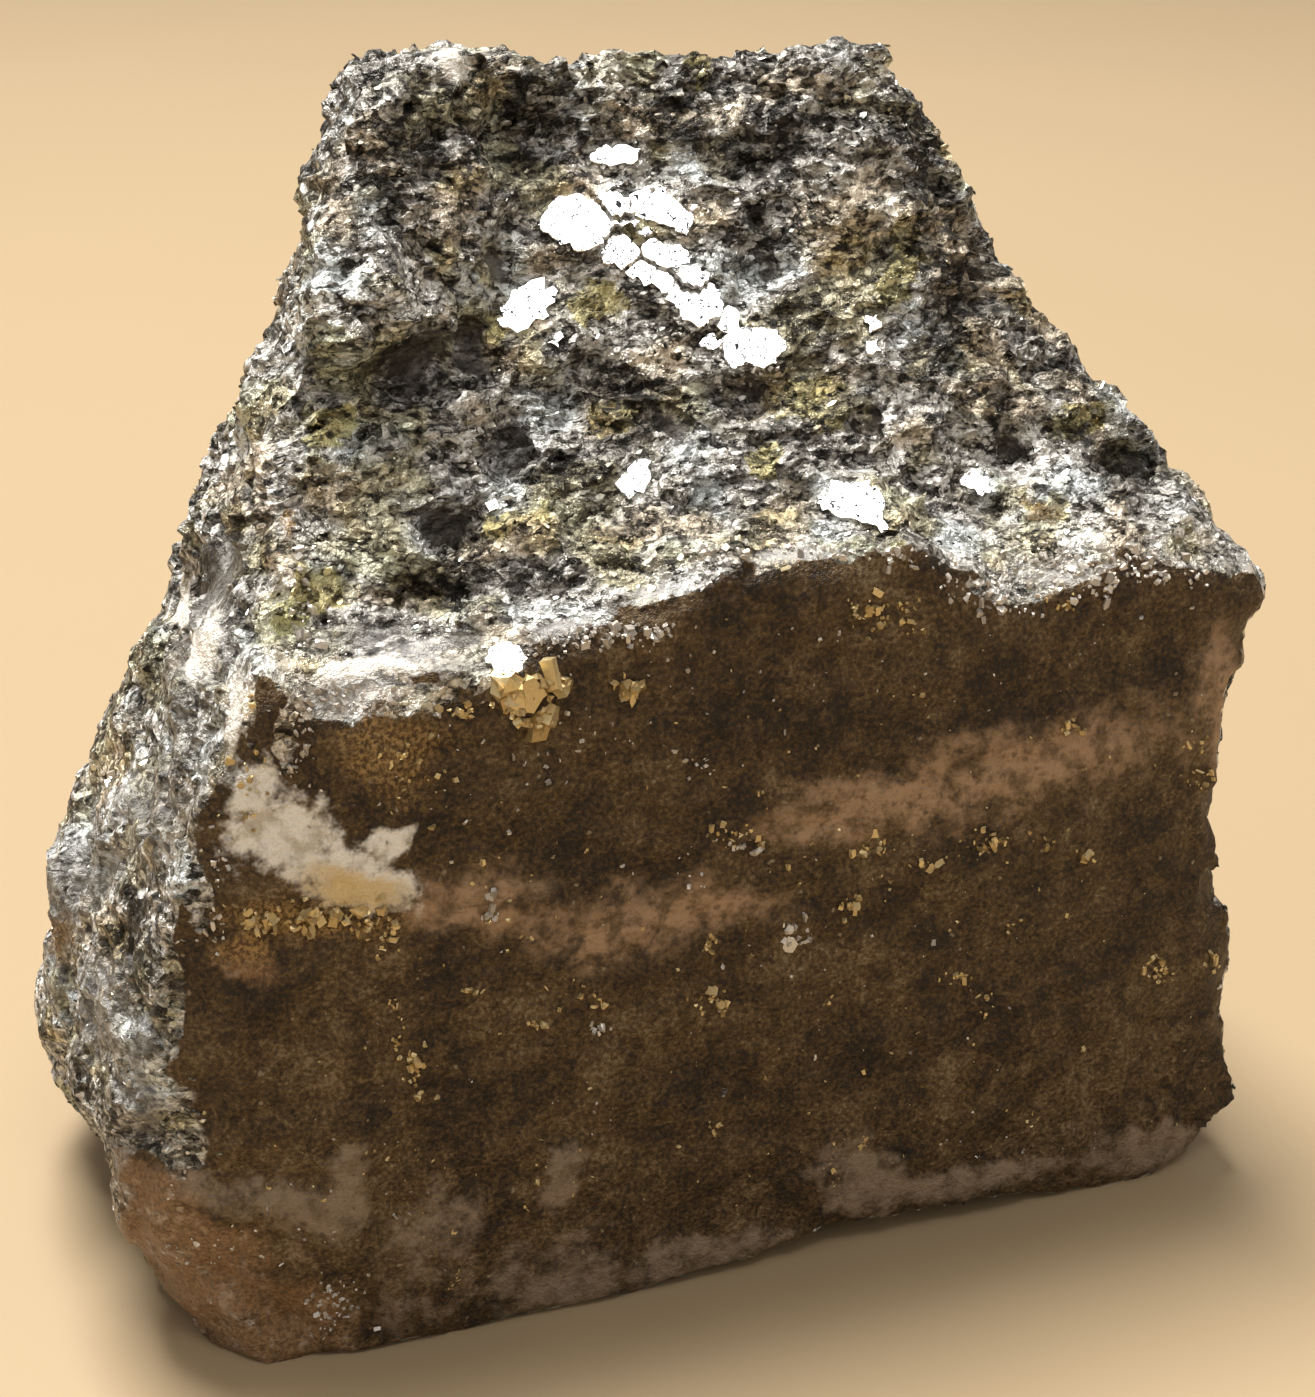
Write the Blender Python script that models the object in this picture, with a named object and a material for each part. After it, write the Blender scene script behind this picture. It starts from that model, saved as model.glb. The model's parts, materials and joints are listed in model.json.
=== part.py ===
"""Sphalerite hand specimen: one broken lump of ore, built in metres with +Z up.

The lump is a block with a nearly flat front face, a rough apron that slopes back from the front face's
crest, and a steep broken tower behind it. Its outline is given at a few levels, from the rim of the
underside to the rim of the summit, and the surface is lofted through them. Then the broken faces get
their cleavage steps, hollows, ledges and lumps, and the underside is cut level where it stands.
"""

import math

import bmesh
import bpy
from mathutils import Vector, noise

MM = 0.001

# Driving dimensions, in millimetres
FRONT_Y = -20.3
FRONT_LEAN = 0.03
REMESH_SIZE = 0.8
TRIANGLES = 8600
STANDING_Z = -0.5
GROUND_SIZE = 200.0

# Samples along each named side of a level, and the height of one row of the loft
SIDE_SAMPLES = {"front": 54, "back": 54, "left": 26}
ROW_HEIGHT = 1.6

# Cleavage steps: cell size, how steeply the facets tilt, and seed. The coarse ones are on the far side alone,
# where they fade in behind BACK_Y.
CLEAVAGE_STEPS = ((6.2, 0.16, 3.7), (3.1, 0.26, 7.4))
BACK_STEPS = (10.0, 0.16, 1.9)
BACK_Y = 3.0

# How short the wall between two facets is, and the factor that gives each cell a tilt of its own
STEP_SHARPNESS = 14.0
TILT_SCRAMBLE = 7.31

# The slow swell under the steps
SWELL_SIZE = 11.0
SWELL_HEIGHT = 0.6

# The front face keeps this share of the steps and swell. A spot counts as front face within a depth behind
# the face's plane and where it faces forward, and each limit has a width over which it fades.
FRONT_SHARE = 0.12
FRONT_DEPTH = 0.4
FRONT_DEPTH_FADE = 1.4
FRONT_FACING = 0.55
FRONT_FACING_FADE = 0.35


def front_y(z):
    """The front face leans back a little as it rises."""
    return FRONT_Y + FRONT_LEAN * z


def on_front(*corners):
    """Corners (x, z) that lie in the plane of the front face."""
    return [(x, front_y(z), z) for x, z in corners]


# Outline of the lump at each level. The front side runs from the left edge to the right edge of the front
# face, the back side from there round the far side, and the left side closes the loop.
LEVELS = (
    {
        "front": [(-24.8, -19.6, -0.9), (-19.6, -20.4, -0.9), (-10.0, -20.3, -0.4), (0.0, -20.2, 0.1),
                  (9.0, -20.2, 0.6), (17.0, -20.2, 0.2), (27.6, -20.2, -1.4)],
        "back": [(31.0, -18.6, -0.8), (31.2, 4.5, 1.6), (13.0, 17.0, 1.0), (-18.0, 17.4, 1.8),
                 (-30.4, 6.2, 1.6)],
        "left": [(-32.2, 1.5, 2.0), (-30.4, -4.0, 2.8), (-29.9, -8.0, 2.4), (-31.2, -10.8, 0.6),
                 (-29.9, -14.0, -0.6), (-27.8, -17.4, -0.8)],
    },
    {
        "front": [(-31.9, -14.0, 6.6), (-29.9, -16.8, 6.2), (-25.8, -19.4, 5.6), (-21.4, -20.3, 3.6),
                  (-10.0, -20.3, 4.0), (12.0, -20.3, 4.4), (33.0, -20.2, 3.4)],
        "back": [(33.6, -12.0, 4.5), (33.2, 7.0, 5.0), (13.0, 20.4, 5.0), (-19.4, 19.6, 5.0),
                 (-32.0, 8.0, 5.0)],
        "left": [(-33.8, 1.0, 6.6), (-32.4, -4.0, 7.6), (-31.4, -8.0, 7.6), (-32.2, -11.0, 5.4)],
    },
    {
        "front": [(-31.1, -16.8, 12.4), (-27.2, -19.5, 9.6), (-21.0, -20.2, 9.6), (0.0, -19.9, 11.6),
                  (31.0, -19.9, 12.4)],
        "back": [(32.4, -14.0, 12.6), (33.0, 6.4, 13.0), (12.4, 20.6, 13.0), (-19.0, 19.4, 13.0),
                 (-31.6, 8.0, 13.0)],
        "left": [(-33.8, 0.0, 13.0), (-32.8, -8.0, 13.0), (-31.8, -13.0, 12.6)],
    },
    {
        "front": [(-29.7, -18.2, 18.6), (-26.6, -19.6, 18.8), (-20.0, -19.7, 19.0), (5.0, -19.7, 19.0),
                  (29.6, -19.7, 18.6)],
        "back": [(31.0, -15.5, 18.4), (32.4, 5.0, 19.0), (12.0, 20.0, 19.5), (-18.4, 18.4, 19.5),
                 (-30.4, 7.4, 20.0)],
        "left": [(-33.5, -1.0, 20.0), (-32.0, -9.0, 19.6), (-30.8, -15.0, 19.4)],
    },
    {
        "front": [(-27.2, -18.9, 28.6), (-25.0, -19.4, 28.6), (-15.0, -19.4, 28.6), (8.0, -19.4, 28.6),
                  (29.3, -19.4, 28.4)],
        "back": [(30.6, -16.0, 28.4), (31.2, 3.0, 28.4), (11.0, 18.2, 29.4), (-17.4, 16.4, 29.2),
                 (-26.6, 6.0, 28.6)],
        "left": [(-28.7, -2.0, 28.4), (-28.4, -9.0, 28.6), (-28.0, -15.0, 28.6)],
    },
    {
        "front": on_front((-23.2, 38.2), (-20.2, 36.6), (-16.4, 36.2), (-13.0, 36.5), (-10.4, 37.8),
                          (-6.4, 38.2), (-1.3, 40.0), (1.0, 40.8), (5.0, 40.7), (9.3, 39.8), (11.6, 38.3),
                          (15.0, 36.8), (18.4, 37.5), (21.8, 38.5), (26.6, 38.2), (30.2, 36.2)),
        "back": [(31.6, -17.6, 36.2), (30.4, -3.0, 35.8), (25.4, 5.0, 36.4), (9.2, 16.0, 37.4),
                 (-16.2, 14.0, 37.4), (-22.9, 5.0, 37.0)],
        "left": [(-24.8, -3.0, 36.6), (-24.6, -10.0, 36.8), (-24.4, -16.0, 37.0)],
    },
    {
        "front": [(-22.4, -17.6, 39.6), (-19.6, -17.4, 38.2), (-16.0, -17.2, 37.8), (-12.6, -17.2, 38.2),
                  (-9.6, -17.2, 39.4), (-6.2, -17.4, 39.9), (-1.3, -17.6, 41.4), (1.4, -17.8, 42.2),
                  (5.0, -17.8, 42.1), (9.3, -17.6, 41.3), (11.8, -17.4, 39.9), (15.0, -17.0, 38.5),
                  (18.6, -16.8, 39.1), (22.0, -16.6, 40.1), (26.4, -16.4, 39.9), (30.0, -16.4, 38.8)],
        "back": [(31.0, -16.0, 38.3), (29.2, -3.0, 38.2), (24.2, 4.8, 39.2), (8.6, 14.8, 41.0),
                 (-15.4, 12.8, 41.0), (-21.6, 4.4, 40.6)],
        "left": [(-23.7, -3.0, 40.4), (-23.2, -9.0, 39.8), (-22.9, -14.0, 39.4)],
    },
    {
        "front": [(-20.4, -12.6, 43.2), (-17.0, -12.0, 43.0), (-13.8, -11.8, 43.2), (-9.0, -11.8, 42.6),
                  (-3.6, -12.0, 42.6), (0.8, -13.0, 43.2), (5.5, -13.8, 43.4), (10.0, -13.0, 42.6),
                  (15.6, -12.4, 42.2), (21.5, -12.4, 41.4), (25.0, -12.0, 41.4), (28.4, -11.8, 42.0)],
        "back": [(28.9, -8.0, 41.6), (26.4, 0.0, 42.0), (22.2, 5.0, 43.2), (8.0, 13.2, 45.0),
                 (-14.2, 11.2, 45.0), (-19.8, 3.0, 44.8)],
        "left": [(-21.3, -3.4, 45.0), (-21.0, -7.0, 44.6), (-20.8, -10.0, 44.2)],
    },
    {
        "front": [(-18.8, -8.8, 47.4), (-15.4, -9.0, 47.6), (-11.4, -8.6, 46.8), (-7.6, -7.8, 46.2),
                  (-2.6, -7.6, 46.6), (2.6, -7.8, 47.0), (8.0, -8.2, 47.6), (12.4, -8.4, 47.0),
                  (15.6, -8.8, 46.0), (19.4, -8.8, 45.6), (24.2, -7.6, 47.2)],
        "back": [(24.4, -4.0, 46.8), (21.8, 3.0, 47.6), (7.0, 11.2, 50.0), (-12.8, 9.2, 50.2),
                 (-17.6, 2.2, 50.0)],
        "left": [(-19.3, -4.0, 49.8), (-19.2, -6.0, 49.2), (-19.0, -7.6, 48.4)],
    },
    {
        "front": [(-17.4, -7.2, 54.4), (-14.0, -7.6, 53.8), (-10.0, -5.6, 54.4), (-6.4, -2.6, 53.6),
                  (-1.6, -3.0, 53.0), (4.2, -3.6, 52.8), (8.8, -4.2, 53.0), (12.6, -4.8, 53.2),
                  (16.6, -4.8, 52.6), (21.6, -3.6, 52.4)],
        "back": [(21.4, -1.0, 52.4), (18.4, 4.6, 53.4), (5.4, 9.8, 55.4), (-11.8, 7.4, 55.8),
                 (-15.8, 1.6, 55.6)],
        "left": [(-17.0, -2.6, 55.4), (-17.2, -4.6, 55.0), (-17.4, -6.0, 54.6)],
    },
    {
        "front": [(-14.4, -2.2, 60.8), (-12.4, -1.6, 61.4), (-8.6, -0.4, 61.6), (-5.0, 0.4, 60.8),
                  (0.4, 1.0, 60.6), (5.6, 1.6, 60.4), (8.2, 0.6, 60.0), (10.8, -0.4, 61.0),
                  (13.6, -0.6, 61.4), (15.8, -0.9, 60.8), (17.7, -0.8, 59.6)],
        "back": [(17.0, 1.4, 59.6), (13.8, 5.4, 59.4), (3.0, 8.6, 60.0), (-10.4, 6.8, 60.8),
                 (-13.4, 2.8, 61.0)],
        "left": [(-14.3, 0.6, 61.0), (-14.5, -0.8, 60.8)],
    },
    {
        "front": [(-13.4, -0.8, 62.9), (-11.0, -0.2, 63.3), (-8.6, 0.8, 63.6), (-5.0, 1.4, 62.9),
                  (0.4, 2.0, 62.6), (5.6, 3.0, 63.0), (8.2, 2.2, 61.8), (10.8, 1.0, 62.7),
                  (13.4, 0.9, 63.2), (15.4, 0.5, 62.8), (16.8, 0.4, 61.5)],
        "back": [(16.0, 2.0, 61.2), (12.8, 4.9, 61.4), (2.4, 7.4, 61.6), (-9.6, 5.7, 62.2),
                 (-12.4, 2.6, 62.4)],
        "left": [(-13.2, 0.8, 62.6), (-13.4, 0.0, 62.6)],
    },
)

# Where the fans that close the loft meet, below the first level and on the summit
UNDERSIDE_MIDDLE = (0.0, -2.0, -1.5)
SUMMIT_MIDDLE = (1.0, 4.0, 62.0)

# Single forms on the surface: what it is, centre, half-sizes, and height (below zero for a hollow)
RELIEF = (
    ("hollow under the summit", (-4.5, -0.3, 59.0), (3.6, 4.0, 3.2), -1.6),
    ("summit pit", (-12.9, -5.2, 56.6), (1.5, 2.0, 1.3), -0.8),
    ("cleft beside the shiny ridge", (-6.9, -3.6, 53.2), (1.5, 3.0, 2.6), -1.1),
    ("left block", (-14.6, -8.2, 52.4), (4.2, 4.0, 3.0), 1.3),
    ("dark facet under the block", (-11.6, -7.8, 49.2), (3.4, 3.0, 2.0), -1.6),
    ("corner of the dark facet", (-8.6, -6.1, 50.2), (1.3, 2.5, 1.5), -1.2),
    ("shelf crack", (-2.8, -6.4, 48.1), (2.8, 2.0, 0.9), -0.8),
    ("shiny ridge, top", (0.4, -1.8, 54.8), (3.2, 3.0, 2.4), 0.9),
    ("shiny ridge, middle", (3.6, -4.1, 51.4), (2.8, 3.0, 2.4), 0.9),
    ("shiny ridge, foot", (6.4, -6.7, 48.8), (2.6, 3.0, 2.0), 0.8),
    ("dark band", (8.4, -1.0, 57.2), (3.8, 3.0, 1.7), -1.0),
    ("right pit", (7.6, -5.0, 52.1), (1.8, 2.5, 1.3), -1.1),
    ("tower rib, top", (15.2, -1.3, 57.4), (2.4, 3.0, 2.6), 0.8),
    ("tower rib, middle", (15.7, -4.3, 54.9), (2.4, 3.0, 3.0), 0.9),
    ("tower rib, foot", (15.9, -6.8, 50.1), (2.6, 3.0, 3.0), 1.0),
    ("middle hollow", (4.6, -8.4, 46.6), (2.6, 2.5, 1.3), -1.0),
    ("low hollow", (0.6, -9.1, 45.9), (1.9, 2.0, 1.0), -0.8),
    ("notch", (10.9, -8.7, 46.7), (1.1, 1.5, 1.0), -0.8),
    ("slot", (11.3, -10.7, 45.2), (1.0, 1.6, 1.5), -0.9),
    ("upper pit of the apron", (-7.9, -9.4, 45.2), (1.9, 2.0, 1.6), -1.6),
    ("lower pit of the apron", (-12.0, -12.5, 42.5), (2.4, 2.0, 1.5), -1.8),
    ("rubble hollow", (-13.6, -14.7, 40.4), (3.4, 2.0, 1.7), -1.0),
    ("lump over the crest", (-12.4, -16.4, 39.4), (2.3, 1.7, 1.1), 0.9),
    ("crest shoulder", (-18.0, -17.6, 38.2), (4.4, 2.2, 1.7), 0.6),
    ("right notch", (26.4, -12.0, 41.1), (2.5, 2.2, 1.8), -1.7),
    ("slanting crack", (18.5, -11.6, 42.9), (3.2, 1.5, 1.1), -1.0),
    ("hollow behind the crest", (13.4, -12.7, 42.3), (2.2, 1.6, 1.2), -1.0),
    ("rounded end of the crest", (31.4, -17.6, 35.8), (1.9, 2.6, 2.4), 0.4),
    ("upper notch of the right edge", (29.6, -19.4, 23.5), (1.6, 2.0, 1.2), -0.9),
    ("lower notch of the right edge", (29.8, -19.6, 18.3), (1.7, 2.0, 1.3), -1.2),
    ("gouge in the left face", (-26.8, -10.0, 33.0), (2.0, 3.0, 4.0), -1.1),
    ("ledge on the back", (-3.0, 17.5, 30.0), (14.0, 5.0, 3.6), 1.8),
    ("hollow in the back", (6.0, 13.5, 45.0), (8.0, 6.0, 6.0), -1.8),
    ("bulge low on the back", (-12.0, 20.0, 13.0), (8.0, 5.0, 6.0), 1.0),
    ("scoop low on the back", (14.0, 19.0, 11.0), (7.0, 6.0, 6.0), -1.8),
    ("step in the right face", (31.5, -2.0, 31.0), (4.0, 7.0, 4.5), -1.6),
    ("bulge in the right face", (31.0, 1.0, 16.0), (4.0, 8.0, 6.0), 1.0),
    ("scoop behind the tower", (-11.0, 9.5, 53.0), (5.0, 5.0, 5.0), -1.6),
)
# Share of a form's half-size over which its floor or top stays level
LEVEL_SHARE = 0.35


def resampled(corners, count):
    """count points evenly spaced along a polyline, its last corner left out."""
    points = [Vector(corner) for corner in corners]
    lengths = [(b - a).length for a, b in zip(points, points[1:])]
    step = sum(lengths) / count
    result = []
    for index in range(count):
        left = index * step
        piece = 0
        while left > lengths[piece]:
            left -= lengths[piece]
            piece += 1
        share = left / lengths[piece]
        result.append(points[piece].lerp(points[piece + 1], share))
    return result


def level_loop(level):
    """One closed loop of points, in which each named side has its own fixed number of samples."""
    sides = list(SIDE_SAMPLES)
    loop = []
    for side, following in zip(sides, sides[1:] + sides[:1]):
        corners = level[side] + [level[following][0]]
        loop += resampled(corners, SIDE_SAMPLES[side])
    return loop


def lofted_mesh():
    """The closed surface through every level, with a fan over the underside and over the summit."""
    loops = [level_loop(level) for level in LEVELS]
    rows = []
    for low, high in zip(loops, loops[1:]):
        gap = sum((b - a).length for a, b in zip(low, high)) / len(low)
        steps = max(1, round(gap / ROW_HEIGHT))
        rows += [[a.lerp(b, step / steps) for a, b in zip(low, high)] for step in range(steps)]
    rows.append(loops[-1])

    shape = bmesh.new()
    rings = [[shape.verts.new(point) for point in row] for row in rows]
    around = len(rings[0])
    for low, high in zip(rings, rings[1:]):
        for i in range(around):
            j = (i + 1) % around
            shape.faces.new((low[i], low[j], high[j], high[i]))
    bottom = shape.verts.new(UNDERSIDE_MIDDLE)
    top = shape.verts.new(SUMMIT_MIDDLE)
    for i in range(around):
        j = (i + 1) % around
        shape.faces.new((bottom, rings[0][j], rings[0][i]))
        shape.faces.new((top, rings[-1][i], rings[-1][j]))
    bmesh.ops.recalc_face_normals(shape, faces=shape.faces)
    mesh = bpy.data.meshes.new("loft")
    shape.to_mesh(mesh)
    shape.free()
    return mesh


def with_modifier(mesh, kind, **settings):
    """The mesh after one modifier, as a new mesh."""
    holder = bpy.data.objects.new("holder", mesh)
    bpy.context.scene.collection.objects.link(holder)
    modifier = holder.modifiers.new(kind.title(), kind)
    for name, value in settings.items():
        setattr(modifier, name, value)
    graph = bpy.context.evaluated_depsgraph_get()
    result = bpy.data.meshes.new_from_object(holder.evaluated_get(graph))
    bpy.data.objects.remove(holder)
    return result


def smooth_step(value):
    value = min(1.0, max(0.0, value))
    return value * value * (3.0 - 2.0 * value)


def flat_front_share(point, normal):
    """1 on the flat front face, 0 away from it."""
    near = 1.0 - smooth_step((point.y - front_y(point.z) - FRONT_DEPTH) / FRONT_DEPTH_FADE)
    facing = smooth_step((-normal.y - FRONT_FACING) / FRONT_FACING_FADE)
    return near * facing


def relief_height(point):
    """Height of the single forms at a point, in the names and sizes that RELIEF gives."""
    height = 0.0
    for _, centre, half, rise in RELIEF:
        away = Vector([(p - c) / h for p, c, h in zip(point, centre, half)]).length
        height += rise * (1.0 - smooth_step((away - LEVEL_SHARE) / (1.0 - LEVEL_SHARE)))
    return height


def cleavage_height(point, size, seed):
    """Height of a surface broken along cleavage: each cell is a flat facet, tilted its own way.

    Near the edge of a cell its height runs over into the next one's, so a step is a short steep wall.
    """
    spot = point / size + Vector((seed, 2.0 * seed, -seed))
    distances, centres = noise.voronoi(spot)
    total = 0.0
    height = 0.0
    for distance, centre in zip(distances, centres):
        share = math.exp((distances[0] - distance) * STEP_SHARPNESS)
        tilt = noise.cell_vector(centre * TILT_SCRAMBLE) * 2.0 - Vector((1.0, 1.0, 1.0))
        height += share * (spot - centre).dot(tilt)
        total += share
    return size * height / total


def roughened(mesh):
    """The broken faces get their swell and cleavage steps. The front face keeps only a trace of them."""
    moves = []
    for vertex in mesh.vertices:
        point = vertex.co
        normal = vertex.normal
        height = SWELL_HEIGHT * noise.noise(point / SWELL_SIZE)
        for size, share, seed in CLEAVAGE_STEPS:
            height += share * cleavage_height(point, size, seed)
        size, share, seed = BACK_STEPS
        height += smooth_step((point.y - BACK_Y) / size) * share * cleavage_height(point, size, seed)
        flat = flat_front_share(point, normal)
        height *= 1.0 - flat * (1.0 - FRONT_SHARE)
        moves.append(normal * (height + relief_height(point)))
    for vertex, move in zip(mesh.vertices, moves):
        vertex.co += move


def cut_level(mesh):
    """The mesh with everything below the standing level taken off."""
    bpy.ops.mesh.primitive_cube_add(size=GROUND_SIZE, location=(0.0, 0.0, STANDING_Z - GROUND_SIZE / 2.0))
    ground = bpy.context.object
    result = with_modifier(mesh, "BOOLEAN", object=ground, operation="DIFFERENCE")
    bpy.data.objects.remove(ground)
    return result


def centre(mesh):
    """Puts the origin at the bottom, in the middle of the bounding box, and turns millimetres to metres."""
    corners = [vertex.co for vertex in mesh.vertices]
    low = Vector([min(corner[axis] for corner in corners) for axis in range(3)])
    high = Vector([max(corner[axis] for corner in corners) for axis in range(3)])
    middle = (low + high) / 2.0
    middle.z = low.z
    for vertex in mesh.vertices:
        vertex.co = (vertex.co - middle) * MM
    mesh.update()
    print("middle", [round(value, 3) for value in middle], "size", [round(v, 3) for v in high - low])


def ore_material():
    material = bpy.data.materials.new("sphalerite_ore")
    material.use_nodes = True
    surface = material.node_tree.nodes["Principled BSDF"]
    surface.inputs["Base Color"].default_value = (0.115, 0.098, 0.080, 1.0)
    surface.inputs["Metallic"].default_value = 0.35
    surface.inputs["Roughness"].default_value = 0.42
    return material


def specimen():
    coarse = lofted_mesh()
    even = with_modifier(coarse, "REMESH", mode="VOXEL", voxel_size=REMESH_SIZE)
    roughened(even)
    count = sum(len(polygon.vertices) - 2 for polygon in even.polygons)
    fewer = with_modifier(even, "DECIMATE", ratio=TRIANGLES / count)
    stone = cut_level(fewer)
    centre(stone)
    obj = bpy.data.objects.new("sphalerite_specimen", stone)
    obj.data.materials.append(ore_material())
    bpy.context.scene.collection.objects.link(obj)
    return obj


for old in list(bpy.data.objects):
    bpy.data.objects.remove(old)
specimen()
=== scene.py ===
# %% [markdown]
# # A broken lump of sphalerite ore
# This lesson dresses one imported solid, a hand-sized lump of zinc ore. The solid gives the big shape: a flat
# front face, a rough apron above it and a broken tower behind. What is missing is what a mineral shows from
# close by: cleavage steps, glittering flakes, mirror-bright faces, brassy pyrite and milky quartz.

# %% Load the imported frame
import json
import math
from itertools import product
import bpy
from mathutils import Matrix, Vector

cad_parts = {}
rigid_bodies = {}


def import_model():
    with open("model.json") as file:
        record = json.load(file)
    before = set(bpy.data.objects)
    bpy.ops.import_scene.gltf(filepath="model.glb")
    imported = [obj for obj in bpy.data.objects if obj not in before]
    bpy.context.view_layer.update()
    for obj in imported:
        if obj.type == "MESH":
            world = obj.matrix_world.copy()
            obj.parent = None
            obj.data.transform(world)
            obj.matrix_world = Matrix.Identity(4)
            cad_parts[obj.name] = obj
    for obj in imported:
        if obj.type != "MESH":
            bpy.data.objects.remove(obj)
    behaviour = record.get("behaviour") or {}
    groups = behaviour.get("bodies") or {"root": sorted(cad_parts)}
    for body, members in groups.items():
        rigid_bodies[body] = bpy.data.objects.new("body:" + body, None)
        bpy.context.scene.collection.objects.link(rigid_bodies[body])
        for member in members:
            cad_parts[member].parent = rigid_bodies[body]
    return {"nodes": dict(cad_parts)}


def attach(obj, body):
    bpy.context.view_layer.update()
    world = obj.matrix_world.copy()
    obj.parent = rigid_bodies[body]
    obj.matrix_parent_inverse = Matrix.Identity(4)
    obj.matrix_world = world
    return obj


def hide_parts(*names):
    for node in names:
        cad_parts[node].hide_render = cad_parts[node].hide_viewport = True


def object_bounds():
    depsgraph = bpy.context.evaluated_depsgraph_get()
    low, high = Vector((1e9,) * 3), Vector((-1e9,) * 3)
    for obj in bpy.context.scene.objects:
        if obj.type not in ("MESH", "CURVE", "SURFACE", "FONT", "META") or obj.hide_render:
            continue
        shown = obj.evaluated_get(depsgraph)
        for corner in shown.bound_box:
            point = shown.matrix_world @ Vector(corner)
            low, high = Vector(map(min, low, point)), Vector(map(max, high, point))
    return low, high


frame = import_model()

from types import SimpleNamespace

import bmesh
import bpy
import numpy as np
from mathutils import Vector
from mathutils import noise as wild
from mathutils.bvhtree import BVHTree

CAD_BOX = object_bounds()
MM = 0.001
NODE = "sphalerite_specimen"
NOISE_SEED = 88

# Without a seed the noise module starts from the clock, and the stone comes out a little different each time
wild.seed_set(NOISE_SEED)
print("packed box, metres:", CAD_BOX)

# %% [markdown]
# ## A merged copy in millimetres
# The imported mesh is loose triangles, and it must stay as it is. So a copy gets its doubles merged. It is also
# scaled to millimetres, because every size on a mineral is easier to read in millimetres.

# %% Copy and merge
MERGE_DISTANCE = 1e-4


def merged_copy(mesh):
    """The mesh as one connected surface, in millimetres."""
    shape = bmesh.new()
    shape.from_mesh(mesh)
    bmesh.ops.scale(shape, vec=(1.0 / MM,) * 3, verts=shape.verts)
    bmesh.ops.remove_doubles(shape, verts=shape.verts, dist=MERGE_DISTANCE)
    result = bpy.data.meshes.new("merged")
    shape.to_mesh(result)
    shape.free()
    return result


def read_points(mesh):
    """All vertices of a mesh as rows of x, y, z."""
    flat = np.empty(len(mesh.vertices) * 3, np.float32)
    mesh.vertices.foreach_get("co", flat)
    return flat.reshape(-1, 3).astype(float)


def read_normals(mesh):
    flat = np.empty(len(mesh.vertices) * 3, np.float32)
    mesh.vertex_normals.foreach_get("vector", flat)
    return flat.reshape(-1, 3).astype(float)


def write_points(mesh, points):
    mesh.vertices.foreach_set("co", points.astype(np.float32).ravel())
    mesh.update()


def tree_of(mesh):
    """A search tree that finds where a line first meets a mesh."""
    polygons = [tuple(polygon.vertices) for polygon in mesh.polygons]
    return BVHTree.FromPolygons([vertex.co for vertex in mesh.vertices], polygons)


lump = merged_copy(frame["nodes"][NODE].data)
lump_tree = tree_of(lump)
print("merged copy:", len(lump.vertices), "vertices,", len(lump.polygons), "triangles")

# %% [markdown]
# ## The camera, and places named by a pixel
# The picture is 1315 by 1397 pixels and was taken from close by, a little to the left and above. Many small
# features are easiest to place by the pixel where they show. A line from the camera through that pixel meets
# the stone at the feature's real place, so what is placed this way sits on the surface from every side.

# %% Camera
PICTURE = np.array([1315.0, 1397.0])
FOCAL_PIXELS = 2300.0
SENSOR = 36.0
CAMERA_AT = np.array([-36.750, -116.663, 83.327])
CAMERA_AIM = np.array([0.133, -9.547, 30.5])

forward = CAMERA_AIM - CAMERA_AT
forward /= np.linalg.norm(forward)
rightward = np.cross(forward, [0.0, 0.0, 1.0])
rightward /= np.linalg.norm(rightward)
upward = np.cross(rightward, forward)


def pixel_line(x, y):
    """Direction from the camera through a pixel."""
    across = (x - PICTURE[0] / 2.0) / FOCAL_PIXELS
    up = (PICTURE[1] / 2.0 - y) / FOCAL_PIXELS
    line = forward + rightward * across + upward * up
    return line / np.linalg.norm(line)


def picture_of(points):
    """Pixel places of points in millimetres, and their depth in front of the camera."""
    away = points - CAMERA_AT
    depth = away @ forward
    x = PICTURE[0] / 2.0 + FOCAL_PIXELS * (away @ rightward) / depth
    y = PICTURE[1] / 2.0 - FOCAL_PIXELS * (away @ upward) / depth
    return np.stack([x, y], axis=1), depth


def meet(tree, x, y):
    """Where the line through a pixel first meets a surface, and the normal there. None where it misses."""
    place, normal, _, _ = tree.ray_cast(Vector(CAMERA_AT), Vector(pixel_line(x, y)))
    if place is None:
        return None, None
    return np.array(place), np.array(normal)


camera_data = bpy.data.cameras.new("camera")
camera_data.sensor_width = SENSOR
camera_data.lens = SENSOR * FOCAL_PIXELS / PICTURE[1]
camera_data.clip_start = 0.005
camera = bpy.data.objects.new("camera", camera_data)
bpy.context.scene.collection.objects.link(camera)
camera.location = CAMERA_AT * MM
camera.rotation_euler = Vector(forward).to_track_quat("-Z", "Y").to_euler()
bpy.context.scene.camera = camera
print("lens, mm:", round(camera_data.lens, 2))
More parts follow.
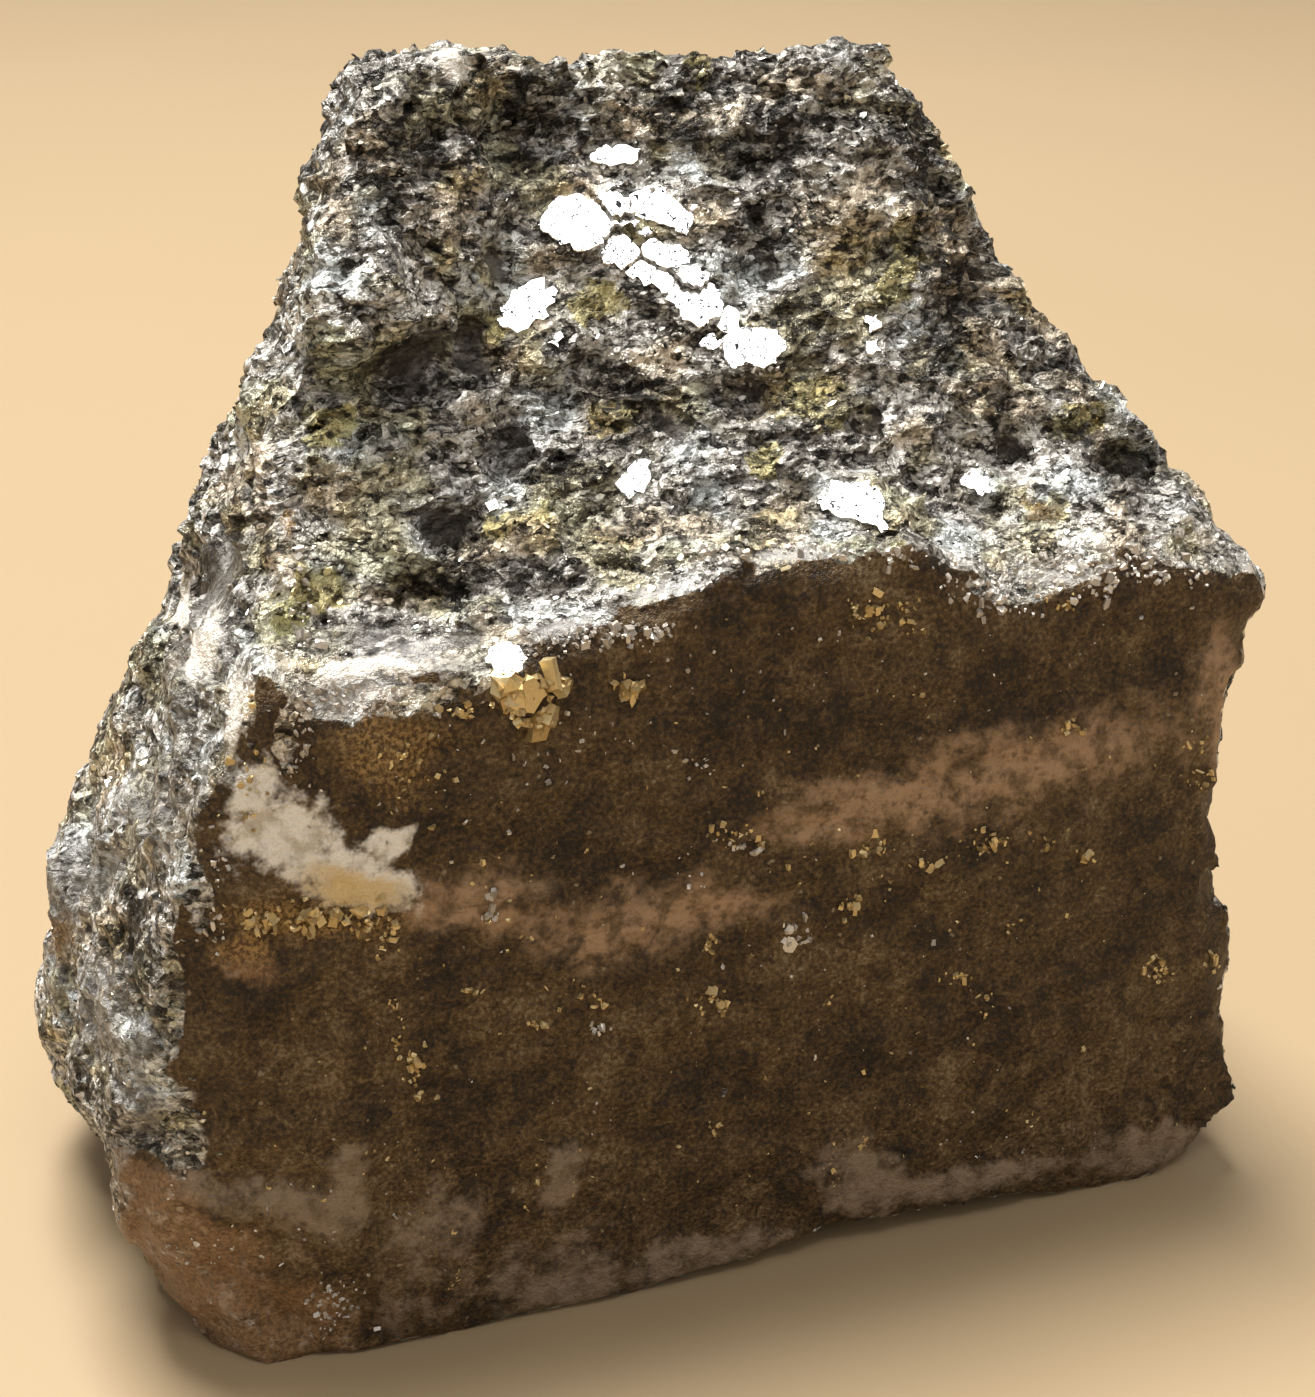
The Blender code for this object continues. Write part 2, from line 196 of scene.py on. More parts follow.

# %% [markdown]
# ## Mineral zones
# One lump holds several minerals, and each has its own place: a vein of milky quartz at the left edge, an
# ochre rim under it, a rosy band across the front, a russet stain at the foot. Other zones are kinds of
# surface: silver and crest for the band of grains over the front face's top edge, frost where fine cleavage
# looks pale, brown where the front face runs on round its edge. Silver also carries a painted highlight: its
# lighter grey is partly silvery grains and partly where the crest and the top catch the lamp. Dark and gloom
# are painted shade: darker grey in the hollows, which dark also sinks, and over the shadowed parts of the top.
# Each zone is a list of spots: pixel x and y, half-width, half-height and turn in degrees. The share is 1 in
# the middle of a spot, a half at its rim and 0 beyond twice its size, and noise breaks up the rim, so no spot
# shows as an ellipse.

# %% Zones that the picture shows
ZONES = {
    "quartz": [
        (275, 835, 50, 38, 30), (335, 866, 54, 32, 20), (378, 890, 42, 22, 10), (388, 846, 24, 13, -40),
        (252, 790, 16, 34, 20), (234, 715, 11, 56, 8), (204, 648, 10, 40, 20), (186, 605, 7, 24, 0),
        (451, 66, 22, 17, 0), (340, 672, 30, 8, -8), (400, 668, 22, 7, 6), (246, 840, 20, 20, 0),
    ],
    "ochre": [
        (350, 888, 56, 20, 14), (310, 922, 76, 16, 5), (395, 750, 46, 34, 20), (250, 950, 30, 14, 0),
        (1043, 509, 18, 12, 0), (288, 524, 8, 18, 0), (60, 940, 10, 20, 0),
    ],
    "rose": [
        (1010, 768, 130, 30, -14), (900, 800, 90, 22, -10), (610, 932, 60, 26, -8), (1217, 695, 20, 52, 0),
        (820, 826, 50, 16, 0), (480, 905, 60, 24, 0), (700, 905, 60, 20, 0),
    ],
    "crest": [
        (375, 694, 80, 22, 6), (312, 690, 34, 26, 0), (470, 676, 30, 14, -20), (286, 742, 12, 34, 0),
        (200, 900, 18, 30, 0), (172, 1000, 10, 60, 0), (1000, 594, 40, 10, 10),
    ],
    "frost": [
        (100, 1010, 30, 50, 0), (140, 1090, 20, 44, 0), (90, 880, 22, 34, 20), (130, 800, 18, 30, 20),
        (60, 960, 12, 40, 0), (175, 720, 16, 40, 15), (120, 1160, 24, 16, 30), (230, 560, 14, 30, 20),
        (200, 640, 24, 60, 20), (140, 1060, 16, 44, 10), (70, 880, 30, 60, 20), (160, 800, 30, 60, 20),
        (360, 640, 46, 14, -6), (430, 650, 50, 10, -14), (640, 600, 60, 8, -16), (800, 556, 60, 8, 0),
        (350, 690, 60, 18, -4), (440, 672, 50, 12, -10), (560, 632, 50, 8, -16), (1080, 575, 60, 14, 0),
    ],
    "pale": [
        (300, 1205, 60, 22, 10), (420, 1265, 34, 60, 10), (560, 1275, 60, 34, -10), (865, 1180, 42, 34, 0),
        (345, 1200, 26, 40, 10), (700, 1255, 80, 18, -10), (980, 1180, 80, 14, -12),
        (1160, 1150, 70, 20, -10), (190, 1190, 50, 14, 20), (128, 1215, 7, 40, -8), (236, 1262, 30, 6, 30),
        (200, 1310, 30, 6, 40), (455, 1240, 16, 44, 24), (560, 1180, 20, 30, 10),
    ],
    "brown": [
        (1198, 885, 18, 40, 0), (1208, 800, 14, 44, 0), (1222, 730, 10, 30, 0), (150, 1170, 14, 16, 0),
    ],
    "russet": [
        (215, 1255, 95, 36, 32), (300, 1310, 60, 34, 20), (252, 962, 26, 20, 0), (150, 1190, 40, 22, 20),
        (185, 1290, 60, 26, 38), (270, 1345, 70, 24, 18), (140, 1235, 20, 40, -20),
    ],
    "olive": [
        (335, 424, 38, 20, -10), (811, 394, 40, 28, 0), (1043, 509, 24, 14, 0), (500, 332, 16, 14, 0),
        (762, 462, 14, 10, 0), (697, 64, 22, 9, 0), (890, 536, 11, 13, 0), (317, 584, 20, 22, 0),
        (590, 300, 34, 18, 0), (620, 420, 30, 14, 0), (520, 525, 40, 14, -20), (900, 262, 20, 40, 20),
        (1080, 420, 30, 18, 0), (285, 620, 12, 26, 0),
    ],
    # Silver: lighter grey, partly silvery grains and partly a painted highlight on the crest and the top
    "silver": [
        (368, 684, 88, 30, -6), (640, 606, 70, 20, -18), (770, 560, 90, 20, -8), (900, 566, 50, 16, 24),
        (1080, 572, 122, 34, -4), (1055, 536, 70, 20, 0), (440, 640, 52, 26, -20), (355, 560, 44, 44, 0),
        (395, 290, 46, 22, -10), (345, 300, 26, 22, 0), (690, 300, 110, 60, 35), (615, 175, 70, 24, 0),
        (560, 620, 50, 16, -16), (820, 230, 50, 40, -20), (905, 450, 20, 40, 0), (110, 780, 22, 22, 0),
        (262, 400, 14, 50, 20), (1010, 460, 60, 16, 20), (470, 170, 20, 50, 20),
    ],
    # Dark: hollows, sunk into the stone, whose facets are coloured darker as painted shade
    "dark": [
        (414, 358, 34, 26, -20), (468, 345, 14, 22, 0), (511, 446, 16, 20, 0), (452, 526, 28, 18, 0),
        (767, 272, 14, 10, 0), (745, 392, 16, 12, 0), (670, 418, 18, 12, 0), (872, 418, 9, 24, 0),
        (850, 382, 10, 8, 0), (1133, 469, 32, 12, -10), (627, 506, 20, 6, 10), (503, 256, 12, 20, 0),
        (616, 122, 10, 16, 0), (212, 574, 22, 38, 0), (690, 52, 40, 9, 0), (1000, 447, 40, 8, 14),
        (925, 478, 26, 8, 0), (190, 1000, 12, 26, 0), (340, 1310, 30, 22, 0), (620, 122, 10, 18, 0),
        (395, 600, 10, 8, 0),
    ],
    # Gloom: painted shade, a darker grey over the shadowed parts of the broken top
    "gloom": [
        (517, 135, 50, 46, 0), (385, 213, 22, 34, 0), (757, 152, 50, 26, -10), (438, 588, 46, 18, 10),
        (880, 540, 26, 9, 10), (590, 366, 30, 8, 20), (452, 634, 26, 6, 0), (560, 245, 30, 8, 20),
        (960, 300, 20, 60, 20), (690, 130, 24, 44, 0), (930, 200, 16, 50, 0), (130, 960, 14, 30, 10),
        (410, 130, 24, 40, 0), (760, 240, 40, 24, -20), (560, 470, 40, 12, 0), (1140, 470, 50, 20, -10),
        (790, 330, 24, 34, 0), (640, 400, 60, 14, 0), (920, 120, 30, 20, 20),
    ],
}

# The sides that the picture doesn't show get the same zones, with their painted highlight and painted shade:
# x, y, z and radius in millimetres
FAR_ZONES = {
    "quartz": [
        (-20.0, 15.0, 22.0, 4.0), (-12.0, 17.5, 26.0, 3.2), (22.0, 12.0, 12.0, 3.0),
        (33.0, -4.0, 20.0, 2.6),
    ],
    "gloom": [
        (14.0, 16.0, 34.0, 7.0), (-18.0, 14.0, 40.0, 6.0), (30.0, 6.0, 14.0, 6.0), (0.0, 19.0, 14.0, 7.0),
    ],
    "frost": [
        (8.0, 18.0, 22.0, 5.0), (-26.0, 10.0, 20.0, 5.0), (31.0, 2.0, 24.0, 4.0), (-4.0, 14.0, 44.0, 4.0),
    ],
    "ochre": [(-16.0, 17.0, 20.0, 3.0), (24.0, 12.0, 16.0, 2.6), (33.0, -8.0, 17.0, 2.4)],
    "russet": [(28.0, 10.0, 5.0, 6.0), (-28.0, 8.0, 6.0, 5.0), (4.0, 19.0, 5.0, 6.0)],
    "olive": [(2.0, 15.0, 40.0, 4.0), (24.0, 6.0, 34.0, 3.0), (-18.0, 10.0, 44.0, 3.0)],
    "silver": [
        (6.0, 18.0, 28.0, 6.0), (-10.0, 12.0, 46.0, 5.0), (30.0, 0.0, 30.0, 5.0), (-30.0, 4.0, 16.0, 5.0),
    ],
    "dark": [
        (10.0, 14.0, 44.0, 4.0), (-24.0, 12.0, 32.0, 4.0), (18.0, 16.0, 10.0, 5.0), (32.0, -2.0, 10.0, 4.0),
    ],
}

# %% Shares of the zones
DEPTH_WINDOW = 4.0
RIM_WANDER = 0.75
RIM_WAVES_PER_MM = 0.42
WANDER_PIXELS = 40.0
STEPPED_ZONES = ("dark", "olive")
STEPPED_GRAIN = 1.5
STEPPED_SEED = 5.0
STEPPED_WANDER = 0.5


def smooth_step(value):
    """0 up to 0, 1 from 1 on, and smooth in between."""
    value = np.clip(value, 0.0, 1.0)
    return value * value * (3.0 - 2.0 * value)


def firm(share, gain, start=0.0):
    """A soft share with a quicker rim."""
    return smooth_step(share * gain - start)


def wandering(points, waves_per_mm, octaves):
    """A rough random offset for each point, that changes smoothly from one point to the next."""
    spots = (points * waves_per_mm).tolist()
    return np.array([wild.turbulence_vector(spot, octaves, False, amplitude_scale=0.6) for spot in spots])


def zone_shares(points, names):
    """How much each point belongs to each named zone, from 0 to 1. Some zones end at the rims of grains."""
    wander = wandering(points, RIM_WAVES_PER_MM, 3)
    smooth = (points, *picture_of(points), wander)
    grains = points - cells(points, STEPPED_GRAIN, STEPPED_SEED)[0]
    stepped = (grains, *picture_of(grains), wander * STEPPED_WANDER)
    return {name: zone_share(name, *(stepped if name in STEPPED_ZONES else smooth)) for name in names}


def zone_share(name, points, places, depths, wander):
    """The share of one zone. A spot counts only near its own depth, so it doesn't mark what lies behind."""
    share = np.zeros(len(points))
    for x, y, half_width, half_height, turn in ZONES[name]:
        centre, _ = meet(lump_tree, x, y)
        if centre is None:
            continue
        angle = math.radians(turn)
        away = places - (x, y) + wander[:, :2] * RIM_WANDER * min(half_width, half_height, WANDER_PIXELS)
        along = (away[:, 0] * math.cos(angle) + away[:, 1] * math.sin(angle)) / half_width
        across = (away[:, 1] * math.cos(angle) - away[:, 0] * math.sin(angle)) / half_height
        depth = abs(depths - (centre - CAMERA_AT) @ forward)
        near = np.clip(2.0 - depth / DEPTH_WINDOW, 0.0, 1.0)
        share = np.maximum(share, (1.0 - np.hypot(along, across) / 2.0) * near)
    for x, y, z, radius in FAR_ZONES.get(name, []):
        away = np.linalg.norm(points - (x, y, z) + wander * RIM_WANDER * radius, axis=1) / radius
        share = np.maximum(share, 1.0 - away / 2.0)
    return np.clip(share, 0.0, 1.0)


# The front face leans back a little. A spot is front face near that plane and where it faces forward.
FRONT_Y = -20.86
FRONT_LEAN = 0.03
FRONT_DEPTH = 0.5
FRONT_DEPTH_FADE = 1.0
FRONT_FACING = 0.62
FRONT_FACING_FADE = 0.25


def front_depth(points):
    """How far points lie behind the plane of the front face."""
    return points[:, 1] - (FRONT_Y + FRONT_LEAN * points[:, 2])


def front_share(points, normals):
    """How much each point belongs to the worn front face."""
    near = 1.0 - smooth_step((front_depth(points) - FRONT_DEPTH) / FRONT_DEPTH_FADE)
    facing = smooth_step((-normals[:, 1] - FRONT_FACING) / FRONT_FACING_FADE)
    return near * facing


spot_count = sum(len(spots) for spots in ZONES.values())
print(spot_count, "spots in", len(ZONES), "zones")


# %% [markdown]
# ## Cleavage: a rule for broken crystal
# Sphalerite breaks along flat planes. A broken face is a patchwork of small flat facets, each tilted its own
# way and a little higher or lower than the next. Space is divided into cells around scattered centres, and
# each cell gets its own tilt and step. The cells are stretched, because the grains lie in rows, and bent by a
# slow wave, because the rows aren't straight.

# %% Cells
LUCK_SEED = 5.0


def scrambled(grid, seed):
    """Three numbers from 0 to 1 for each whole-numbered spot of a grid, always the same ones."""
    mixer = np.array([[127.1, 269.5, 113.5], [311.7, 183.3, 271.9], [74.7, 246.1, 124.6]])
    mixed = np.sin(grid @ mixer + seed) * 43758.5453
    return mixed - np.floor(mixed)


def cells(points, size, seed):
    """For each point: its place from the nearest cell's centre, and three numbers of that cell's own."""
    spots = points / size
    base = np.floor(spots)
    nearest = base.copy()
    offset = np.zeros_like(spots)
    best = np.full(len(spots), np.inf)
    for step in product((-1.0, 0.0, 1.0), repeat=3):
        cell = base + step
        away = spots - cell - scrambled(cell, seed)
        distance = (away * away).sum(axis=1)
        closer = distance < best
        best[closer] = distance[closer]
        nearest[closer] = cell[closer]
        offset[closer] = away[closer]
    return offset * size, scrambled(nearest, seed + LUCK_SEED)


# Each layer: cell size, tilt of the facets, height of the steps between them, seed
CLEAVAGE = ((4.2, 0.14, 0.34, 1.0), (1.9, 0.22, 0.20, 2.0), (0.95, 0.24, 0.10, 3.0))
GRAIN_STRETCH = np.array([1.4, 1.0, 0.8])
BEND_PER_MM = 0.28
BEND = 0.7
CRINKLE_PER_MM = 0.85
CRINKLE = 0.16

# Roughness, step between octaves, octaves, offset and gain of the crinkles
CRINKLE_SHAPE = (0.9, 2.1, 3, 1.0, 2.0)


def bent_rows(points):
    """Places in a space where the wavy rows of grains are straight."""
    return (points + BEND * wandering(points, BEND_PER_MM, 3)) / GRAIN_STRETCH


def cleavage_relief(points):
    """Height of the broken surface over the smooth one, in millimetres."""
    bent = bent_rows(points)
    height = np.zeros(len(points))
    for size, tilt, step, seed in CLEAVAGE:
        offset, luck = cells(bent, size, seed)
        height += tilt * (offset * (luck * 2.0 - 1.0)).sum(axis=1)
        height += step * (luck[:, 0] - 0.5)
    spots = (bent * CRINKLE_PER_MM).tolist()
    ridges = [wild.ridged_multi_fractal(spot, *CRINKLE_SHAPE) for spot in spots]
    return height + CRINKLE * (np.array(ridges) - 1.0)


sample = cleavage_relief(read_points(lump))
print("cleavage relief, mm:", round(sample.min(), 2), "to", round(sample.max(), 2))

# %% [markdown]
# ## Mirror faces
# A few large grains broke along one clean plane each, and these flash white. A flat face flashes when it
# looks half-way between the eye and the lamp, so that is the direction that they get here. Each outline is
# a few corner pixels, laid on the grain's own plane. The stone around it is drawn to that plane, so the face
# lies in a step of the surface.

# %% Outlines of the mirror faces
MIRRORS = {
    "upper_left": [
        (537, 225), (544, 216), (552, 204), (566, 198), (582, 196), (593, 201), (600, 211), (609, 219),
        (618, 224), (609, 227), (605, 235), (599, 243), (587, 248), (574, 247), (558, 238), (545, 231),
    ],
    "under_it": [
        (609, 229), (620, 231), (627, 239), (637, 248), (638, 256), (627, 262), (609, 262), (597, 256),
        (602, 246), (606, 237),
    ],
    "middle": [
        (600, 196), (611, 192), (620, 196), (627, 204), (634, 211), (620, 215), (611, 210), (604, 203),
    ],
    "upper_right": [
        (629, 198), (638, 192), (649, 187), (661, 188), (670, 196), (677, 203), (690, 212), (691, 221),
        (687, 228), (685, 234), (677, 230), (672, 225), (659, 221), (652, 219), (641, 216), (631, 212),
        (634, 204),
    ],
    "bead": [(620, 218), (629, 215), (638, 221), (634, 226), (624, 225)],
    "small_bead": [(640, 231), (645, 229), (651, 232), (645, 234)],
    "lens": [
        (643, 248), (649, 241), (658, 241), (663, 246), (674, 246), (686, 251), (692, 257), (684, 263),
        (675, 266), (663, 264), (652, 259), (645, 255),
    ],
    "slope_head": [
        (627, 272), (636, 265), (652, 262), (659, 269), (668, 276), (677, 282), (675, 291), (666, 291),
        (656, 284), (643, 279), (631, 276),
    ],
    "slope_cap": [(678, 274), (686, 268), (699, 268), (708, 273), (707, 280), (700, 285), (691, 281)],
    "slope": [
        (669, 292), (678, 283), (690, 284), (700, 288), (709, 284), (718, 291), (720, 301), (721, 310),
        (709, 317), (706, 322), (695, 322), (684, 318), (678, 307), (672, 301),
    ],
    "step": [
        (709, 318), (722, 310), (732, 309), (738, 316), (736, 322), (740, 328), (734, 333), (724, 330),
        (716, 323),
    ],
    "foot": [
        (726, 337), (736, 333), (752, 330), (777, 331), (781, 340), (785, 346), (777, 355), (770, 362),
        (758, 364), (749, 360), (742, 364), (737, 367), (729, 360), (725, 348),
    ],
    "foot_left": [(701, 343), (709, 335), (722, 338), (721, 342), (709, 347)],
    "top": [
        (591, 157), (599, 149), (608, 146), (620, 146), (640, 149), (636, 155), (629, 163), (620, 161),
        (611, 164), (599, 162),
    ],
    "left": [
        (498, 318), (507, 305), (521, 289), (537, 280), (552, 287), (553, 302), (547, 315), (531, 321),
        (518, 331),
    ],
    "apron_left": [(617, 483), (629, 474), (635, 463), (650, 462), (649, 478), (643, 491), (630, 497)],
    "apron_right": [
        (819, 503), (830, 492), (832, 481), (869, 481), (878, 492), (881, 511), (888, 528), (869, 522),
        (850, 515), (830, 508),
    ],
    "apron_far_right": [(962, 480), (973, 472), (987, 478), (990, 488), (982, 494), (971, 487)],
    "crest_round": [
        (487, 658), (492, 648), (505, 643), (518, 647), (526, 658), (521, 668), (508, 671), (495, 667),
    ],
    "wedge": [(549, 342), (560, 332), (558, 346)],
    "ridge_dot": [(866, 322), (876, 316), (880, 326), (870, 331)],
    "ridge_dot_low": [(868, 342), (877, 340), (880, 350), (869, 352)],
    "apron_dot": [(487, 503), (494, 499), (497, 506), (490, 510)],
}

# %% Planes and ragged outlines
GLINT_WAY = np.array([0.05, -0.42, 0.90])
MIRROR_WOBBLE = 0.02
MIRROR_GROWTH_PIXELS = 2.6
RAGGED_STEPS = 3
RAGGED = 0.15

glint_way = GLINT_WAY / np.linalg.norm(GLINT_WAY)
mirror_draw = np.random.default_rng(12)


def ragged_outline(outline):
    """An outline with small random nicks along every edge, a little larger than it was."""
    corners = np.array(outline, float)
    middle = corners.mean(axis=0)
    away = corners - middle
    corners += away / np.linalg.norm(away, axis=1)[:, None] * MIRROR_GROWTH_PIXELS
    places = []
    for a, b in zip(corners, np.roll(corners, -1, axis=0)):
        along = b - a
        side = np.array([along[1], -along[0]])
        for step in range(RAGGED_STEPS):
            nick = mirror_draw.normal(0.0, RAGGED) if step else 0.0
            places.append(a + along * (step / RAGGED_STEPS) + side * nick)
    return places


def mirror_plane(outline):
    """Middle and normal of the plane on which one mirror face lies."""
    x, y = np.mean(outline, axis=0)
    centre, _ = meet(lump_tree, x, y)
    to_camera = CAMERA_AT - centre
    flash = to_camera / np.linalg.norm(to_camera) + glint_way
    normal = flash / np.linalg.norm(flash) + mirror_draw.normal(0.0, MIRROR_WOBBLE, 3)
    return centre, normal / np.linalg.norm(normal)


def on_plane(x, y, centre, normal):
    """Where the line through a pixel meets a plane."""
    line = pixel_line(x, y)
    return CAMERA_AT + line * ((centre - CAMERA_AT) @ normal) / (line @ normal)


mirror_planes = {name: mirror_plane(outline) for name, outline in MIRRORS.items()}
mirror_outlines = {name: ragged_outline(outline) for name, outline in MIRRORS.items()}
print(len(MIRRORS), "mirror faces; the first one's normal:", mirror_planes["upper_left"][1].round(2))

# %% The stone around them
MIRROR_RISE = 0.16
MIRROR_MARGIN_PIXELS = 6.0
MIRROR_REACH_PIXELS = 14.0
FAR_AWAY = 1e9
TINY = 1e-9


def outside_by(places, outline):
    """How far each place lies outside an outline, in pixels. It is 0 or less inside."""
    corners = np.array(outline, float)
    distance = np.full(len(places), FAR_AWAY)
    inside = np.zeros(len(places), bool)
    for a, b in zip(corners, np.roll(corners, -1, axis=0)):
        edge = b - a
        share = np.clip(((places - a) @ edge) / (edge @ edge), 0.0, 1.0)
        distance = np.minimum(distance, np.linalg.norm(places - a - share[:, None] * edge, axis=1))
        crosses = (a[1] > places[:, 1]) != (b[1] > places[:, 1])
        rise = edge[1] if edge[1] != 0.0 else TINY
        inside ^= crosses & (places[:, 0] < a[0] + (places[:, 1] - a[1]) * edge[0] / rise)
    return np.where(inside, -distance, distance)


def at_depth_of(name, depths):
    """True for the depths that lie near one mirror face."""
    return abs(depths - (mirror_planes[name][0] - CAMERA_AT) @ forward) < DEPTH_WINDOW


def drawn_to_mirrors(points):
    """Points near a mirror face move along their line of sight to just under its plane."""
    places, depths = picture_of(points)
    result = points.copy()
    nearest = np.full(len(points), MIRROR_REACH_PIXELS)
    fade = MIRROR_REACH_PIXELS - MIRROR_MARGIN_PIXELS
    for name, outline in mirror_outlines.items():
        centre, normal = mirror_planes[name]
        outside = outside_by(places, outline)
        closer = at_depth_of(name, depths) & (outside < nearest)
        nearest[closer] = outside[closer]
        for i in np.nonzero(closer)[0]:
            share = 1.0 - smooth_step((outside[i] - MIRROR_MARGIN_PIXELS) / fade)
            target = on_plane(places[i, 0], places[i, 1], centre - normal * MIRROR_RISE, normal)
            result[i] = points[i] * (1.0 - share) + target * share
    return result


# %% [markdown]
# ## Bumps on the summit
# The outline of the top stands out against the pale ground, so the eye checks it first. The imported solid
# follows it to about a millimetre, and round bumps and dips bring it closer: pixel x and y, radius and height
# in millimetres. Each pixel lies on the solid's own edge, because a line of sight just above it would miss.

# %% Bumps and dips
PUSHES = (
    (332, 108, 2.0, -1.3), (354, 64, 1.6, -0.7), (374, 60, 1.6, -0.8), (440, 46, 1.4, -0.6),
    (465, 46, 1.6, -0.7), (492, 50, 1.4, -0.6), (514, 48, 1.2, -0.3), (600, 49, 1.6, -0.4),
    (632, 45, 1.8, -1.2), (655, 44, 1.4, -0.4), (680, 56, 1.6, 0.3), (796, 62, 1.8, 0.7),
    (825, 56, 1.8, 0.4), (855, 58, 1.8, 0.6), (909, 106, 2.0, 0.4),
)


def pushes(points):
    """Height that the listed bumps and dips add."""
    height = np.zeros(len(points))
    for x, y, radius, push in PUSHES:
        centre, _ = meet(lump_tree, x, y)
        if centre is not None:
            height += push * np.exp(-((points - centre) ** 2).sum(axis=1) / radius ** 2)
    return height


print(len(PUSHES), "bumps and dips")

# %% [markdown]
# ## The skin of the stone
# Now the surface itself. It could be sculpted by hand, but a rule makes thousands of believable steps.
# A voxel remesh makes an even net with edges of a third of a millimetre, its points move along their normals
# by the cleavage relief, and a decimation then spends its triangles on the steps and saves them on flat
# facets. The front face was ground smooth by nature and keeps only a trace of the relief, and quartz, the
# hollows and the stained foot keep less of it than the rest.

# %% Modifiers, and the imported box
BOX_INSET = 0.01

box_low = np.array(CAD_BOX[0]) / MM
box_high = np.array(CAD_BOX[1]) / MM


def with_modifier(mesh, kind, **settings):
    """The mesh after one modifier, as a new mesh."""
    holder = bpy.data.objects.new("holder", mesh)
    bpy.context.scene.collection.objects.link(holder)
    modifier = holder.modifiers.new("step", kind)
    for name, value in settings.items():
        setattr(modifier, name, value)
    graph = bpy.context.evaluated_depsgraph_get()
    result = bpy.data.meshes.new_from_object(holder.evaluated_get(graph))
    bpy.data.objects.remove(holder)
    return result


def kept_in_box(points):
    """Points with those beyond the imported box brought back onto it."""
    return np.clip(points, box_low + BOX_INSET * np.array([1.0, 1.0, 0.0]), box_high - BOX_INSET)


# %% Height of the skin
FRONT_RELIEF = 0.07
RIM_RELIEF = 0.35
RIM_REACH = 4.5
LEFT_X = -22.0
LEFT_FADE = 4.0
FOOT_CLEAR = 0.1
FOOT_FADE = 1.0

# How much of the relief each kind of surface takes away
SMOOTHED = {"quartz": 0.8, "silver": 0.5, "russet": 0.78, "dark": 0.7, "left": 0.4}

# Slow swellings: height in millimetres, waves per millimetre and octaves
FRONT_SWELL = (0.28, 0.35, 4)
QUARTZ_SWELL = (0.16, 0.5, 2)
QUARTZ_RISE = 0.08
PALE_RISE = 0.30
HOLLOW_DEPTH = 0.45
FRONT_HOLLOW_DEPTH = 0.12


def swelling(points, height, waves_per_mm, octaves):
    return height * wandering(points, waves_per_mm, octaves)[:, 0]


def above_foot(points):
    """0 on the ground and 1 a little above it, so the foot stays flat."""
    return smooth_step((points[:, 2] - FOOT_CLEAR) / FOOT_FADE)


def skin_points(points, normals):
    """The even net's points, moved to the broken surface."""
    front = front_share(points, normals)
    shares = zone_shares(points, ("quartz", "dark", "silver", "russet", "crest", "pale", "brown"))
    dark = firm(shares["dark"], 1.6)
    quartz = firm(shares["quartz"], 2.0, 0.4)
    russet = firm(shares["russet"], 2.0, 0.5)
    front *= 1.0 - firm(shares["crest"], 3.0, 1.0)
    front = np.maximum(front, 0.8 * firm(shares["brown"], 2.0, 0.5))
    rough = 1.0 - front * (1.0 - FRONT_RELIEF)
    rough = rough * (1.0 - SMOOTHED["quartz"] * quartz) * (1.0 - SMOOTHED["silver"] * shares["silver"])
    rough *= (1.0 - SMOOTHED["russet"] * russet) * (1.0 - SMOOTHED["dark"] * dark)
    rough *= RIM_RELIEF + (1.0 - RIM_RELIEF) * smooth_step(front_depth(points) / RIM_REACH)
    rough *= 1.0 - SMOOTHED["left"] * smooth_step((LEFT_X - points[:, 0]) / LEFT_FADE)
    height = cleavage_relief(points) * rough
    height += quartz * (QUARTZ_RISE + swelling(points, *QUARTZ_SWELL))
    height += front * swelling(points, *FRONT_SWELL)
    height -= HOLLOW_DEPTH * dark * (1.0 - front)
    height -= FRONT_HOLLOW_DEPTH * dark * front
    height += PALE_RISE * firm(shares["pale"], 2.0, 0.4) + pushes(points)
    height *= above_foot(points)
    return points + normals * height[:, None]


# %% Build the skin
SKIN_VOXEL = 0.36
SKIN_TRIANGLES = 190000
JITTER = 0.10
JITTER_CELL = 0.05
JITTER_SEED = 9.0

even = with_modifier(lump, "REMESH", mode="VOXEL", voxel_size=SKIN_VOXEL)
points = read_points(even)
normals = read_normals(even)
shiver = (scrambled(np.round(points / JITTER_CELL), JITTER_SEED) - 0.5) * JITTER * 2.0
shiver -= normals * (shiver * normals).sum(axis=1)[:, None]
points = drawn_to_mirrors(skin_points(points + shiver * above_foot(points)[:, None], normals))
write_points(even, kept_in_box(points))
triangles = sum(len(polygon.vertices) - 2 for polygon in even.polygons)
skin_mesh = with_modifier(even, "DECIMATE", ratio=min(1.0, SKIN_TRIANGLES / triangles))
print("net:", triangles, "triangles; skin:", len(skin_mesh.polygons), "faces")

# %% [markdown]
# ## Zones on the skin
# A finish can't ask for a pixel, so each point of the skin keeps its shares as attributes with the zones'
# names. Broken facets are shaded flat, so that each one catches the light on its own. The worn front face,
# the quartz and the stain are shaded smooth.

# %% Record the zones on the skin
BROKEN_EDGE = 0.5


def record(mesh, name, values):
    """Keeps one number for each vertex under a name that a finish can read."""
    layer = mesh.attributes.new(name, "FLOAT", "POINT")
    layer.data.foreach_set("value", values.astype(np.float32))


skin_at = read_points(skin_mesh)
skin_front = front_share(skin_at, read_normals(skin_mesh))
skin_zones = zone_shares(skin_at, ZONES)
skin_front *= 1.0 - firm(skin_zones["crest"], 3.0, 1.0)
skin_front = np.maximum(skin_front, firm(skin_zones["brown"], 2.4, 0.5))
record(skin_mesh, "front", skin_front)
for name, share in skin_zones.items():
    record(skin_mesh, name, share)

